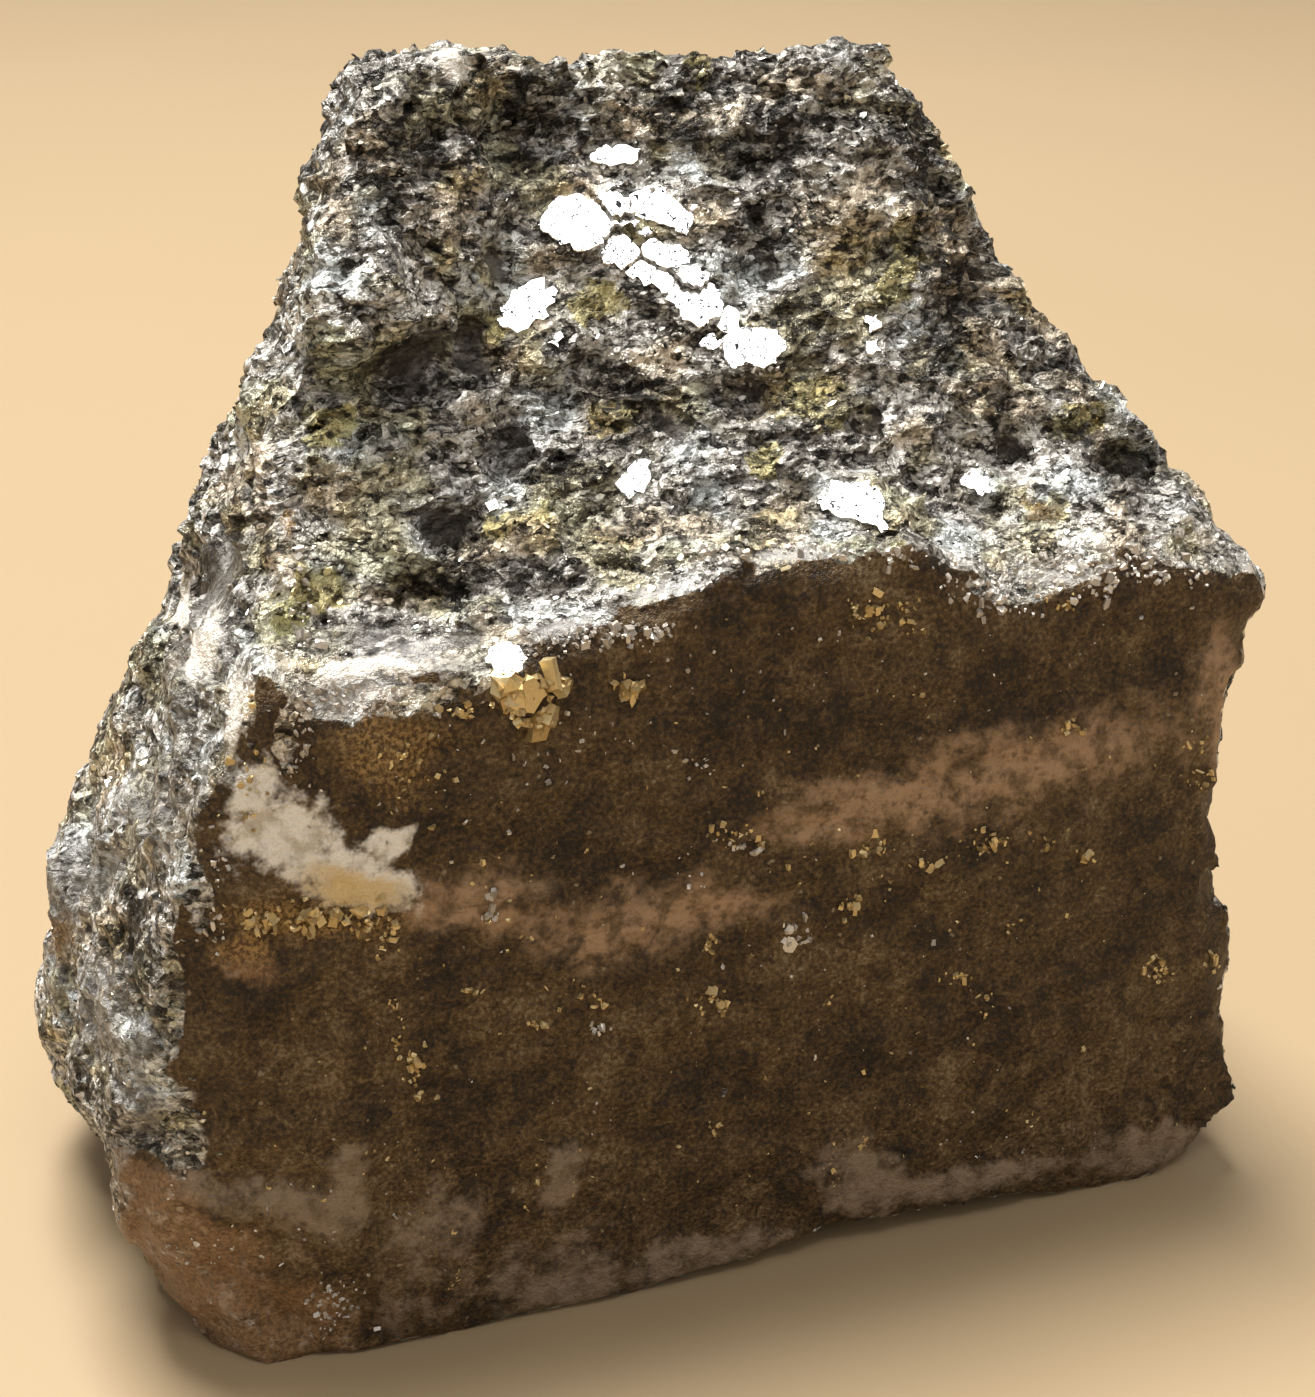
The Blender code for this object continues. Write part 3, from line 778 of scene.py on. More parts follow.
soft_zones = np.maximum(skin_zones["quartz"], skin_zones["russet"])
smooth_here = np.maximum(skin_front, firm(soft_zones, 2.0, 0.4))
for polygon in skin_mesh.polygons:
    polygon.use_smooth = bool(smooth_here[list(polygon.vertices)].mean() > BROKEN_EDGE)
smooth_faces = sum(polygon.use_smooth for polygon in skin_mesh.polygons)
print("smooth faces:", smooth_faces, "of", len(skin_mesh.polygons))

skin_tree = tree_of(skin_mesh)

# %% [markdown]
# ## Small helpers for finishes
# A finish is a graph of nodes. Building one in code stays readable when each kind of step has a short name:
# blend two colours, blend two numbers, turn a soft share into a crisp edge. Nothing here knows about the
# stone yet.

# %% Node helpers
def add(tree, kind, settings, inputs):
    """A new node. An input is a plain value or another node's output."""
    node = tree.nodes.new(kind)
    for name, value in settings.items():
        setattr(node, name, value)
    for name, value in inputs.items():
        if isinstance(value, bpy.types.NodeSocket):
            tree.links.new(value, node.inputs[name])
        else:
            node.inputs[name].default_value = value
    return node


def number(tree, operation, a, b=0.0):
    return add(tree, "ShaderNodeMath", {"operation": operation}, {0: a, 1: b}).outputs[0]


def vector(tree, operation, a, b=(0.0, 0.0, 0.0)):
    return add(tree, "ShaderNodeVectorMath", {"operation": operation}, {0: a, 1: b}).outputs[0]


def blend_numbers(tree, share, a, b):
    return add(tree, "ShaderNodeMix", {"data_type": "FLOAT"}, {0: share, 2: a, 3: b}).outputs[0]


def rgba(colour):
    return colour if isinstance(colour, bpy.types.NodeSocket) else (*colour, 1.0)


def blend_colours(tree, share, a, b, way="MIX"):
    settings = {"data_type": "RGBA", "blend_type": way}
    return add(tree, "ShaderNodeMix", settings, {0: share, 6: rgba(a), 7: rgba(b)}).outputs[2]


def between(tree, value, low, high):
    """0 below low, 1 above high, and smooth from one to the other."""
    settings = {"interpolation_type": "SMOOTHSTEP"}
    return add(tree, "ShaderNodeMapRange", settings, {0: value, 1: low, 2: high}).outputs[0]


def recorded(tree, name):
    return add(tree, "ShaderNodeAttribute", {"attribute_name": name}, {}).outputs["Fac"]


def millimetres(tree):
    """Place on the object in millimetres."""
    place = add(tree, "ShaderNodeTexCoord", {}, {}).outputs["Object"]
    return vector(tree, "MULTIPLY", place, (1.0 / MM,) * 3)


def noise(tree, place, per_mm, detail=2.0, roughness=0.5, output=0):
    inputs = {"Vector": place, "Scale": per_mm, "Detail": detail, "Roughness": roughness}
    return add(tree, "ShaderNodeTexNoise", {}, inputs).outputs[output]

def scaled(tree, value, factor, offset=0.0):
    """A value times a factor plus an offset."""
    node = add(tree, "ShaderNodeMath", {"operation": "MULTIPLY_ADD"}, {0: value, 1: factor, 2: offset})
    return node.outputs[0]


def split(tree, colour):
    return add(tree, "ShaderNodeSeparateXYZ", {}, {0: colour}).outputs


def voronoi(tree, place, per_mm, output, feature="F1"):
    inputs = {"Vector": place, "Scale": per_mm}
    return add(tree, "ShaderNodeTexVoronoi", {"feature": feature}, inputs).outputs[output]


def warped(tree, place, per_mm, reach):
    """A place pushed about by noise, up to the given reach in millimetres."""
    push = vector(tree, "SUBTRACT", noise(tree, place, per_mm, 0.0, output=1), (0.5, 0.5, 0.5))
    return vector(tree, "ADD", place, vector(tree, "MULTIPLY", push, (2.0 * reach,) * 3))


def ramp(tree, share, stops):
    """A colour ramp from (place, colour) pairs."""
    node = add(tree, "ShaderNodeValToRGB", {}, {0: share})
    elements = node.color_ramp.elements
    while len(elements) < len(stops):
        elements.new(0.5)
    for element, (place, colour) in zip(elements, stops):
        element.position = place
        element.color = (*colour, 1.0)
    return node.outputs[0]


def new_finish(name):
    """An empty material with its shader and its node tree."""
    material = bpy.data.materials.new(name)
    material.use_nodes = True
    return material, material.node_tree, material.node_tree.nodes["Principled BSDF"]


# %% [markdown]
# ## The ore finish
# Broken sphalerite is steel-grey and glitters: each small grain has its own tone and its own tilt. Voronoi
# cells in two sizes give both. A cell's random colour sets its grey. The same colour, read as a direction,
# tips the shading normal. The place is bent by noise before the cells are asked for, so their rims aren't
# straight. On the front face the grains are worn smooth, and the brown of the mineral itself shows, with rosy
# and pale bands. Quartz is milky and hardly shiny. The recorded zones say where each finish goes.
# Painted shade darkens the gaps between grains, the hollows and the shadowed parts of the top, and a painted
# highlight lightens the crest and parts of the top where they catch the lamp.

# %% Steel-grey
STEEL = (
    (0.00, (0.012, 0.011, 0.009)),
    (0.22, (0.044, 0.040, 0.034)),
    (0.40, (0.165, 0.156, 0.138)),
    (0.56, (0.340, 0.326, 0.296)),
    (0.74, (0.640, 0.622, 0.580)),
    (0.92, (0.950, 0.935, 0.900)),
)
OLIVE_TINT = (0.80, 0.74, 0.42)
BLUE_TINT = (0.88, 0.95, 1.00)
TAN_TINT = (1.00, 0.90, 0.76)
# Silver lifts the grey: partly silvery grains, partly a painted highlight where the crest and the top catch the
# lamp
SILVER_HIGHLIGHT_LIFT = 0.27
# Painted shade: how far the gloom zone lowers the grey
PAINTED_SHADE_DROP = 0.34

# Waves per millimetre, octaves and roughness of each noise
WAVES = {
    "patch": (0.22, 1.0, 0.65), "swell": (0.22, 2.0, 0.6), "ragged": (0.8, 3.0, 0.7),
    "crumple": (1.9, 3.0, 0.78), "flake crumple": (2.4, 2.0, 0.7), "speckle": (4.0, 3.0, 0.7),
    "streak": (0.8, 2.0, 0.6), "bump": (2.6, 3.0, 0.75), "crack": (0.7, 4.0, 0.75),
    "fleck": (2.2, 2.0, 0.5), "tarnish": (6.0, 2.0, 0.6), "cloud": (0.01, 2.0, 0.5),
}


def steel_colour(tree, place, tone):
    """Ore colour from its tone: silvery, partly painted highlight; darker as painted shade; bluish, tan or
    olive by zone and chance.
    """
    # Painted highlight, in part: the silver zone raises the tone
    silver = scaled(tree, recorded(tree, "silver"), SILVER_HIGHLIGHT_LIFT)
    # Painted shade: the gloom zone lowers the tone
    gloom = scaled(tree, recorded(tree, "gloom"), PAINTED_SHADE_DROP)
    level = number(tree, "SUBTRACT", number(tree, "ADD", tone, silver), gloom)
    grey = ramp(tree, level, STEEL)
    chance = split(tree, noise(tree, place, *WAVES["patch"], output=1))
    grey = blend_colours(tree, between(tree, chance[0], 0.50, 0.66), grey, BLUE_TINT, "MULTIPLY")
    grey = blend_colours(tree, between(tree, chance[1], 0.50, 0.64), grey, TAN_TINT, "MULTIPLY")
    by_chance = scaled(tree, between(tree, chance[2], 0.52, 0.64), 0.6)
    olive = number(tree, "MAXIMUM", between(tree, recorded(tree, "olive"), 0.3, 0.7), by_chance)
    return blend_colours(tree, olive, grey, OLIVE_TINT, "MULTIPLY")


# %% Patterns that the parts of the ore finish share
ROW_STRETCH = (1.45, 1.0, 0.80)
GRAIN_PER_MM = 1.5
FINE_GRAIN_PER_MM = 3.4

# Waves per millimetre and reach in millimetres of the two bends of the rows
SLOW_BEND = (0.30, 0.45)
QUICK_BEND = (1.6, 0.09)

# How a zone's rim is drawn: half-width and middle of the blend, and how much noise moves it
RIMS = {
    "front": (0.10, 0.50, 0.7), "quartz": (0.16, 0.48, 0.9), "ochre": (0.28, 0.50, 0.8),
    "russet": (0.25, 0.50, 0.8), "frost": (0.30, 0.50, 0.8), "dark": (0.10, 0.48, 0.5),
    "rose": (0.40, 0.46, 0.9), "pale": (0.20, 0.50, 0.8),
}


def crisp(tree, name, ragged):
    """A recorded zone with a ragged, fairly sharp rim."""
    width, middle, strength = RIMS[name]
    moved = scaled(tree, ragged, strength, -strength / 2.0)
    value = number(tree, "ADD", recorded(tree, name), moved)
    return between(tree, value, middle - width, middle + width)


def ore_patterns(tree):
    """Places, noises, zones and the two sizes of grains, each made once for the whole finish."""
    place = millimetres(tree)
    bent = warped(tree, warped(tree, place, *SLOW_BEND), *QUICK_BEND)
    rows = vector(tree, "DIVIDE", bent, ROW_STRETCH)
    shared = SimpleNamespace(place=place, rows=rows)
    shared.ragged = noise(tree, place, *WAVES["ragged"])
    shared.speckle = noise(tree, place, *WAVES["speckle"])
    shared.swell = noise(tree, place, *WAVES["swell"])
    shared.crumple = noise(tree, rows, *WAVES["crumple"])
    shared.grain = voronoi(tree, rows, GRAIN_PER_MM, "Color")
    shared.fine = voronoi(tree, rows, FINE_GRAIN_PER_MM, "Color")
    shared.crest = between(tree, recorded(tree, "silver"), 0.45, 0.75)
    shared.zones = {name: crisp(tree, name, shared.ragged) for name in RIMS}
    return shared


# %% Colour of the broken grains
# A dark and a light colour of each mineral or kind of surface
SHADES = {
    # Painted shade: the darker colour of the facets in the hollows
    "shaded_facet": ((0.028, 0.023, 0.018), (0.090, 0.077, 0.062)),
    "mist": ((0.13, 0.125, 0.115), (0.33, 0.32, 0.30)),
    "rust": ((0.140, 0.076, 0.032), (0.320, 0.188, 0.088)),
    "ochre": ((0.090, 0.045, 0.012), (0.420, 0.260, 0.090)),
    "milk": ((0.66, 0.61, 0.52), (1.00, 0.97, 0.90)),
}
# Painted shade in the gaps between grains
GAP_SHADE = (0.024, 0.021, 0.017)
# Painted highlight: the pale frost on the crest turns this light grey
CREST_MIST_HIGHLIGHT = (0.66, 0.65, 0.63)
RUST_VEIN = (0.420, 0.310, 0.210)
OCHRE_MILK = (0.74, 0.53, 0.21)


def shade(tree, name, pattern, low, high):
    """From a mineral's dark to its light colour as a pattern goes from low to high."""
    return blend_colours(tree, between(tree, pattern, low, high), *SHADES[name])


def broken_colour(tree, ore):
    """Steel-grey grains, painted shade in the gaps and on the hollows' facets, and pale frost."""
    tone = blend_numbers(tree, 0.45, split(tree, ore.grain)[0], split(tree, ore.fine)[0])
    tone = blend_numbers(tree, 0.32, tone, scaled(tree, ore.crumple, 4.0, -1.5))
    tone = number(tree, "ADD", scaled(tree, tone, 1.25, -0.11), scaled(tree, ore.swell, 0.8, -0.40))
    bead = between(tree, voronoi(tree, ore.rows, FINE_GRAIN_PER_MM, "Distance"), 0.50, 0.34)
    beaded = number(tree, "MULTIPLY", ore.crest, scaled(tree, bead, 0.40, -0.24))
    broken = steel_colour(tree, ore.place, number(tree, "ADD", tone, beaded))

    # The gaps between grains are coloured near black: painted shade where they would lie in shadow
    gap = voronoi(tree, ore.rows, GRAIN_PER_MM, "Distance", "DISTANCE_TO_EDGE")
    uneven = number(tree, "ADD", gap, scaled(tree, ore.crumple, 0.60, -0.26))
    broken = blend_colours(tree, between(tree, uneven, 0.0, 0.05), GAP_SHADE, broken)
    # Facets in the dark hollows take a darker colour: painted shade
    shaded_facet = shade(tree, "shaded_facet", ore.crumple, 0.30, 0.72)
    broken = blend_colours(tree, scaled(tree, ore.zones["dark"], 0.85), broken, shaded_facet)
    mist = shade(tree, "mist", ore.crumple, 0.36, 0.66)
    # On the crest the pale frost turns lighter still: a painted highlight
    mist = blend_colours(tree, scaled(tree, ore.crest, 0.7), mist, CREST_MIST_HIGHLIGHT)
    return blend_colours(tree, scaled(tree, ore.zones["frost"], 0.75), broken, mist)


def stained_colour(tree, ore, colour):
    """A colour with rust, ochre and milky quartz laid over it, each in its own zone."""
    rust = shade(tree, "rust", ore.speckle, 0.34, 0.66)
    vein = between(tree, ore.ragged, 0.56, 0.68)
    rust = blend_colours(tree, scaled(tree, vein, 0.7), rust, RUST_VEIN)
    colour = blend_colours(tree, scaled(tree, ore.zones["russet"], 0.97), colour, rust)
    stain = shade(tree, "ochre", ore.speckle, 0.40, 0.62)
    colour = blend_colours(tree, scaled(tree, ore.zones["ochre"], 0.75), colour, stain)
    milk = shade(tree, "milk", ore.ragged, 0.35, 0.58)
    milk = blend_colours(tree, scaled(tree, ore.zones["ochre"], 0.85), milk, OCHRE_MILK)
    return blend_colours(tree, scaled(tree, ore.zones["quartz"], 0.94), colour, milk)


# %% Colour of the front face
FACE = (
    (0.00, (0.006, 0.003, 0.001)),
    (0.25, (0.026, 0.014, 0.005)),
    (0.50, (0.070, 0.039, 0.012)),
    (0.75, (0.130, 0.080, 0.032)),
    (1.00, (0.230, 0.165, 0.095)),
)
FACE_ROSE = (0.430, 0.280, 0.165)
FACE_PALE = (0.300, 0.225, 0.155)
# Painted shade of small pits; the face has no real pits under them
FACE_PIT_SHADE = (0.014, 0.008, 0.004)
FACE_DOT = (0.26, 0.20, 0.125)
FACE_LEVEL = 0.49
FACE_GRAIN_PER_MM = 1.2
FACE_GRAIN_BEND = 0.25
STREAK_STRETCH = (1.0, 1.0, 0.12)


def face_colour(tree, ore):
    """Brown of the worn front face, with rosy and pale bands, pale dots, and small pits painted as dark shade.
    """
    streak = noise(tree, vector(tree, "MULTIPLY", ore.place, STREAK_STRETCH), *WAVES["streak"])
    pushed = warped(tree, ore.place, FACE_GRAIN_PER_MM, FACE_GRAIN_BEND)
    grain = split(tree, voronoi(tree, pushed, FACE_GRAIN_PER_MM, "Color"))
    level = number(tree, "ADD", scaled(tree, ore.speckle, 1.9, -0.95), scaled(tree, ore.swell, 1.2, -0.60))
    level = number(tree, "ADD", level, scaled(tree, grain[0], 0.26, -0.13))
    level = number(tree, "ADD", level, scaled(tree, streak, 0.4, -0.20 + FACE_LEVEL))
    face = ramp(tree, level, FACE)

    wisp = between(tree, ore.ragged, 0.34, 0.60)
    rose = number(tree, "MULTIPLY", ore.zones["rose"], scaled(tree, wisp, 0.70, 0.25))
    face = blend_colours(tree, rose, face, FACE_ROSE)
    pale = number(tree, "MULTIPLY", ore.zones["pale"], scaled(tree, wisp, 0.45, 0.40))
    face = blend_colours(tree, pale, face, FACE_PALE)

    distance = voronoi(tree, pushed, FACE_GRAIN_PER_MM, "Distance")
    uneven = number(tree, "ADD", distance, scaled(tree, ore.speckle, 0.5, -0.25))
    # Small dark spots at grain centres: painted shade of pits
    pit_shade = number(tree, "MULTIPLY", between(tree, uneven, 0.26, 0.12), between(tree, grain[1], 0.50, 0.46))
    face = blend_colours(tree, scaled(tree, pit_shade, 0.5), face, FACE_PIT_SHADE)
    dot = number(tree, "MULTIPLY", between(tree, uneven, 0.16, 0.09), between(tree, grain[1], 0.78, 0.82))
    return blend_colours(tree, dot, face, FACE_DOT)


# %% Gloss and tilt of the grains
METALLIC = 0.42
SPECULAR = 0.35
GRAIN_TIP = 0.7
FINE_GRAIN_TIP = 0.6
DULL_TIP = 0.12
BUMP_DEPTH = 0.36 * MM
BUMP_STRENGTH = 0.9


def dullness(tree, ore):
    """1 where a zone isn't shiny ore."""
    zones = ore.zones
    dull = number(tree, "MAXIMUM", number(tree, "MAXIMUM", zones["front"], zones["quartz"]), zones["russet"])
    half_dull = scaled(tree, number(tree, "MAXIMUM", zones["frost"], zones["dark"]), 0.7)
    return number(tree, "MAXIMUM", dull, half_dull)


def tip_of(tree, colour, reach):
    """A grain's random colour as a direction to tip the normal to."""
    centred = vector(tree, "SUBTRACT", colour, (0.5, 0.5, 0.5))
    return vector(tree, "MULTIPLY", centred, (reach,) * 3)


def tipped_normal(tree, ore, dull):
    """The surface normal, tipped grain by grain and roughened by a little bump."""
    tips = vector(tree, "ADD", tip_of(tree, ore.grain, GRAIN_TIP), tip_of(tree, ore.fine, FINE_GRAIN_TIP))
    strength = blend_numbers(tree, dull, 1.0, DULL_TIP)
    tips = add(tree, "ShaderNodeVectorMath", {"operation": "SCALE"}, {0: tips, "Scale": strength}).outputs[0]
    plain = add(tree, "ShaderNodeNewGeometry", {}, {}).outputs["Normal"]
    tipped = vector(tree, "NORMALIZE", vector(tree, "ADD", plain, tips))
    height = noise(tree, ore.place, *WAVES["bump"])
    inputs = {"Strength": BUMP_STRENGTH, "Distance": BUMP_DEPTH, "Height": height, "Normal": tipped}
    return add(tree, "ShaderNodeBump", {}, inputs).outputs[0]


def ore_finish():
    """Broken grains, worn front face and stains in one material."""
    material, tree, shader = new_finish("sphalerite_ore_skin")
    patterns = ore_patterns(tree)
    front = patterns.zones["front"]
    colour = blend_colours(tree, front, broken_colour(tree, patterns), face_colour(tree, patterns))
    tree.links.new(stained_colour(tree, patterns, colour), shader.inputs["Base Color"])
    dull = dullness(tree, patterns)
    tree.links.new(blend_numbers(tree, dull, METALLIC, 0.0), shader.inputs["Metallic"])
    grain_gloss = scaled(tree, split(tree, patterns.grain)[1], 0.35, 0.20)
    face_gloss = scaled(tree, patterns.speckle, 0.5, 0.22)
    tree.links.new(blend_numbers(tree, dull, grain_gloss, face_gloss), shader.inputs["Roughness"])
    shader.inputs["Specular IOR Level"].default_value = SPECULAR
    tree.links.new(tipped_normal(tree, patterns, dull), shader.inputs["Normal"])
    return material


ore = ore_finish()
print("ore finish:", len(ore.node_tree.nodes), "nodes")

# %% The skin becomes the stone's visible piece
def visible_piece(name, mesh, material):
    """Puts a finished millimetre mesh into the scene in metres, riding on the one body there is."""
    mesh.name = name
    write_points(mesh, kept_in_box(read_points(mesh)) * MM)
    mesh.materials.clear()
    mesh.materials.append(material)
    piece = bpy.data.objects.new(name, mesh)
    bpy.context.scene.collection.objects.link(piece)
    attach(piece, "root")
    size = sum(len(polygon.vertices) - 2 for polygon in mesh.polygons)
    print(name, "has", size, "triangles")
    return piece


stone = visible_piece("ore_skin", skin_mesh.copy(), ore)
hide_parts(NODE)

# %% [markdown]
# ## Cleavage flakes
# Over the facets lie thousands of loose-edged cleavage flakes, a quarter of a millimetre to a millimetre
# long, in rows. They make the glitter: wherever the light stands, some of them face half-way to it. Each is a
# thin plate with five uneven corners. Geometry Nodes scatter them over the skin, turn their long side along
# the rows, tip each one its own way and sink it half into the stone.

# %% Flake shapes
FLAKE_CORNERS = 5
FLAKE_KINDS = 4
FLAKE_TAPER = 0.8


def flake_shape(name, draw):
    """A thin plate, 1 long, with uneven corners and a top that is smaller than its foot."""
    count = FLAKE_CORNERS
    turns = (np.arange(count) + draw.uniform(-0.25, 0.25, count)) * 2.0 * math.pi / count
    radii = draw.uniform(0.34, 0.52, count)
    foot = [(r * math.cos(t), r * math.sin(t), -0.5) for r, t in zip(radii, turns)]
    top = [(FLAKE_TAPER * x, FLAKE_TAPER * y, 0.5) for x, y, _ in foot]
    faces = [tuple(reversed(range(count))), tuple(range(count, 2 * count))]
    faces += [(i, (i + 1) % count, count + (i + 1) % count, count + i) for i in range(count)]
    mesh = bpy.data.meshes.new(name)
    mesh.from_pydata(foot + top, [], faces)
    return bpy.data.objects.new(name, mesh)


def shape_box(name, shapes):
    """A collection that a scatter picks its shapes from."""
    box = bpy.data.collections.new(name)
    bpy.context.scene.collection.children.link(box)
    for shape in shapes:
        box.objects.link(shape)
    return box


def emptied(box):
    """Takes the shapes away again once the scatter is a plain mesh."""
    for shape in list(box.objects):
        bpy.data.objects.remove(shape)
    bpy.data.collections.remove(box)


# %% Parts of a geometry tree
FIRST_INPUTS = (("Geometry", "Geometry", None), ("Shapes", "Collection", None), ("Finish", "Material", None))


def new_tree(name, inputs):
    """An empty geometry tree with named inputs, and the sockets that give their values."""
    tree = bpy.data.node_groups.new(name, "GeometryNodeTree")
    tree.interface.new_socket("Geometry", in_out="OUTPUT", socket_type="NodeSocketGeometry")
    for label, kind, value in FIRST_INPUTS + inputs:
        item = tree.interface.new_socket(label, in_out="INPUT", socket_type=f"NodeSocket{kind}")
        if value is not None:
            item.default_value = value
    return tree, tree.nodes.new("NodeGroupInput").outputs


def random_number(tree, low, high, seed):
    inputs = {2: low, 3: high, "Seed": seed}
    return add(tree, "FunctionNodeRandomValue", {"data_type": "FLOAT"}, inputs).outputs[1]


def random_turn(tree, low, high, seed):
    """A random rotation with each angle between its low and its high one."""
    inputs = {0: low, 1: high, "Seed": seed}
    angles = add(tree, "FunctionNodeRandomValue", {"data_type": "FLOAT_VECTOR"}, inputs).outputs[0]
    return add(tree, "FunctionNodeEulerToRotation", {}, {0: angles}).outputs[0]


def attribute(tree, name):
    return add(tree, "GeometryNodeInputNamedAttribute", {"data_type": "FLOAT"}, {"Name": name}).outputs[0]


def set_and_finished(tree, source, points, turn, size, seed):
    """A shape on every point, each with its own tone, then made real, given its finish and put out."""
    shapes = add(tree, "GeometryNodeCollectionInfo", {},
                 {"Collection": source["Shapes"], "Separate Children": True, "Reset Children": True})
    placed = add(tree, "GeometryNodeInstanceOnPoints", {},
                 {"Points": points, "Instance": shapes.outputs[0], "Pick Instance": True,
                  "Rotation": turn, "Scale": size})
    toned = add(tree, "GeometryNodeStoreNamedAttribute", {"data_type": "FLOAT", "domain": "INSTANCE"},
                {"Geometry": placed.outputs[0], "Name": "tone", "Value": random_number(tree, 0.0, 1.0, seed)})
    real = add(tree, "GeometryNodeRealizeInstances", {}, {0: toned.outputs[0]})
    finished = add(tree, "GeometryNodeSetMaterial", {},
                   {"Geometry": real.outputs[0], "Material": source["Finish"]})
    tree.links.new(finished.outputs[0], tree.nodes.new("NodeGroupOutput").inputs[0])


def grown_on(mesh, tree, **values):
    """The plain mesh that a geometry tree makes on a mesh. Input names have _ for a space."""
    holder = bpy.data.objects.new("holder", mesh)
    bpy.context.scene.collection.objects.link(holder)
    modifier = holder.modifiers.new("grow", "NODES")
    modifier.node_group = tree
    for item in tree.interface.items_tree:
        key = item.name.replace(" ", "_")
        if item.in_out == "INPUT" and key in values:
            modifier[item.identifier] = values[key]
    graph = bpy.context.evaluated_depsgraph_get()
    result = bpy.data.meshes.new_from_object(holder.evaluated_get(graph))
    holder.modifiers.remove(modifier)
    bpy.data.objects.remove(holder)
    return result


# %% The scattering tree
ROW_WAY = (1.0, 0.15, 0.1)
SLIMMEST = 0.42
WIDEST = 0.85
SPIN = 0.5


def scatter_tree():
    """Flakes over a surface: how many, how long, how flat and how far tipped are inputs."""
    tree, source = new_tree("scatter_flakes", (
        ("Where", "String", "flaking"), ("Per square mm", "Float", 4.0), ("Shortest", "Float", 0.3),
        ("Longest", "Float", 1.2), ("Thickness", "Float", 0.3), ("Tip", "Float", 0.5), ("Seed", "Int", 1)))
    density = number(tree, "MULTIPLY", attribute(tree, source["Where"]), source["Per square mm"])
    spread = add(tree, "GeometryNodeDistributePointsOnFaces", {"distribute_method": "RANDOM"},
                 {"Mesh": source["Geometry"], "Density": density, "Seed": source["Seed"]})

    along_rows = add(tree, "FunctionNodeAlignRotationToVector", {"axis": "X", "pivot_axis": "Z"},
                     {"Rotation": spread.outputs["Rotation"], "Vector": ROW_WAY})
    back_tip = number(tree, "MULTIPLY", source["Tip"], -1.0)
    low = add(tree, "ShaderNodeCombineXYZ", {}, {0: back_tip, 1: back_tip, 2: -SPIN})
    high = add(tree, "ShaderNodeCombineXYZ", {}, {0: source["Tip"], 1: source["Tip"], 2: SPIN})
    tipped = add(tree, "FunctionNodeRotateRotation", {"rotation_space": "LOCAL"},
                 {0: along_rows.outputs[0], 1: random_turn(tree, low.outputs[0], high.outputs[0], 3)})

    few_long = number(tree, "POWER", random_number(tree, 0.0, 1.0, 4), 2.0)
    length = add(tree, "ShaderNodeMapRange", {},
                 {0: few_long, 3: source["Shortest"], 4: source["Longest"]}).outputs[0]
    width = number(tree, "MULTIPLY", length, random_number(tree, SLIMMEST, WIDEST, 5))
    thickness = number(tree, "MULTIPLY", length, source["Thickness"])
    size = add(tree, "ShaderNodeCombineXYZ", {}, {0: length, 1: width, 2: thickness})
    set_and_finished(tree, source, spread.outputs["Points"], tipped.outputs[0], size.outputs[0], 6)
    return tree


flake_scatter = scatter_tree()
print("scatter tree:", len(flake_scatter.nodes), "nodes")

# %% Flake finish
FLAKE_RUST = (0.150, 0.085, 0.042)
FLAKE_OCHRE = (0.225, 0.125, 0.040)
FLAKE_METALLIC = 0.5


def flake_finish():
    """Steel-grey like the skin's grains, with each flake's own tone and gloss."""
    material, tree, shader = new_finish("cleavage_flake")
    place = millimetres(tree)
    crumple = noise(tree, place, *WAVES["flake crumple"])
    swell = noise(tree, place, *WAVES["swell"])
    tone = blend_numbers(tree, 0.45, recorded(tree, "tone"), scaled(tree, crumple, 4.0, -1.5))
    tone = number(tree, "ADD", tone, scaled(tree, swell, 0.9, -0.45))
    # steel_colour lays the same painted highlight and painted shade on the flakes as on the skin
    colour = steel_colour(tree, place, tone)
    for name, strength, stain in (("russet", 0.8, FLAKE_RUST), ("ochre", 0.6, FLAKE_OCHRE)):
        zone = between(tree, recorded(tree, name), 0.35, 0.7)
        colour = blend_colours(tree, scaled(tree, zone, strength), colour, stain)
    tree.links.new(colour, shader.inputs["Base Color"])
    tree.links.new(scaled(tree, crumple, 0.5, 0.08), shader.inputs["Roughness"])
    shader.inputs["Metallic"].default_value = FLAKE_METALLIC
    return material


# %% Where flakes grow
FLAKE_FOOT = 0.7
FLAKE_FOOT_FADE = 0.8
NEAR_SIDE = 6.0
MIRROR_CLEAR_PIXELS = 5.0


def clear_of_mirrors(points):
    """0 on the mirror faces and close by, 1 elsewhere."""
    clear = np.ones(len(points))
    places, depths = picture_of(points)
    for name, outline in mirror_outlines.items():
        clear *= 1.0 - at_depth_of(name, depths) * (outside_by(places, outline) < MIRROR_CLEAR_PIXELS)
    return clear


above_base = smooth_step((skin_at[:, 2] - FLAKE_FOOT) / FLAKE_FOOT_FADE)
no_quartz = 1.0 - firm(skin_zones["quartz"], 2.2, 0.4)
worn = 1.0 - firm(skin_zones["russet"], 2.2, 0.5)
worn *= (1.0 - firm(skin_zones["dark"], 2.2, 0.4)) * (1.0 - 0.7 * firm(skin_zones["frost"], 2.0, 0.4))
flaking = (1.0 - skin_front) * above_base * no_quartz * clear_of_mirrors(skin_at) * worn
near_side = smooth_step((NEAR_SIDE - skin_at[:, 1]) / NEAR_SIDE)
record(skin_mesh, "flaking", flaking * near_side)
record(skin_mesh, "far_flaking", flaking * (1.0 - near_side))
print("mean share of flaking surface:", round(float(flaking.mean()), 2))

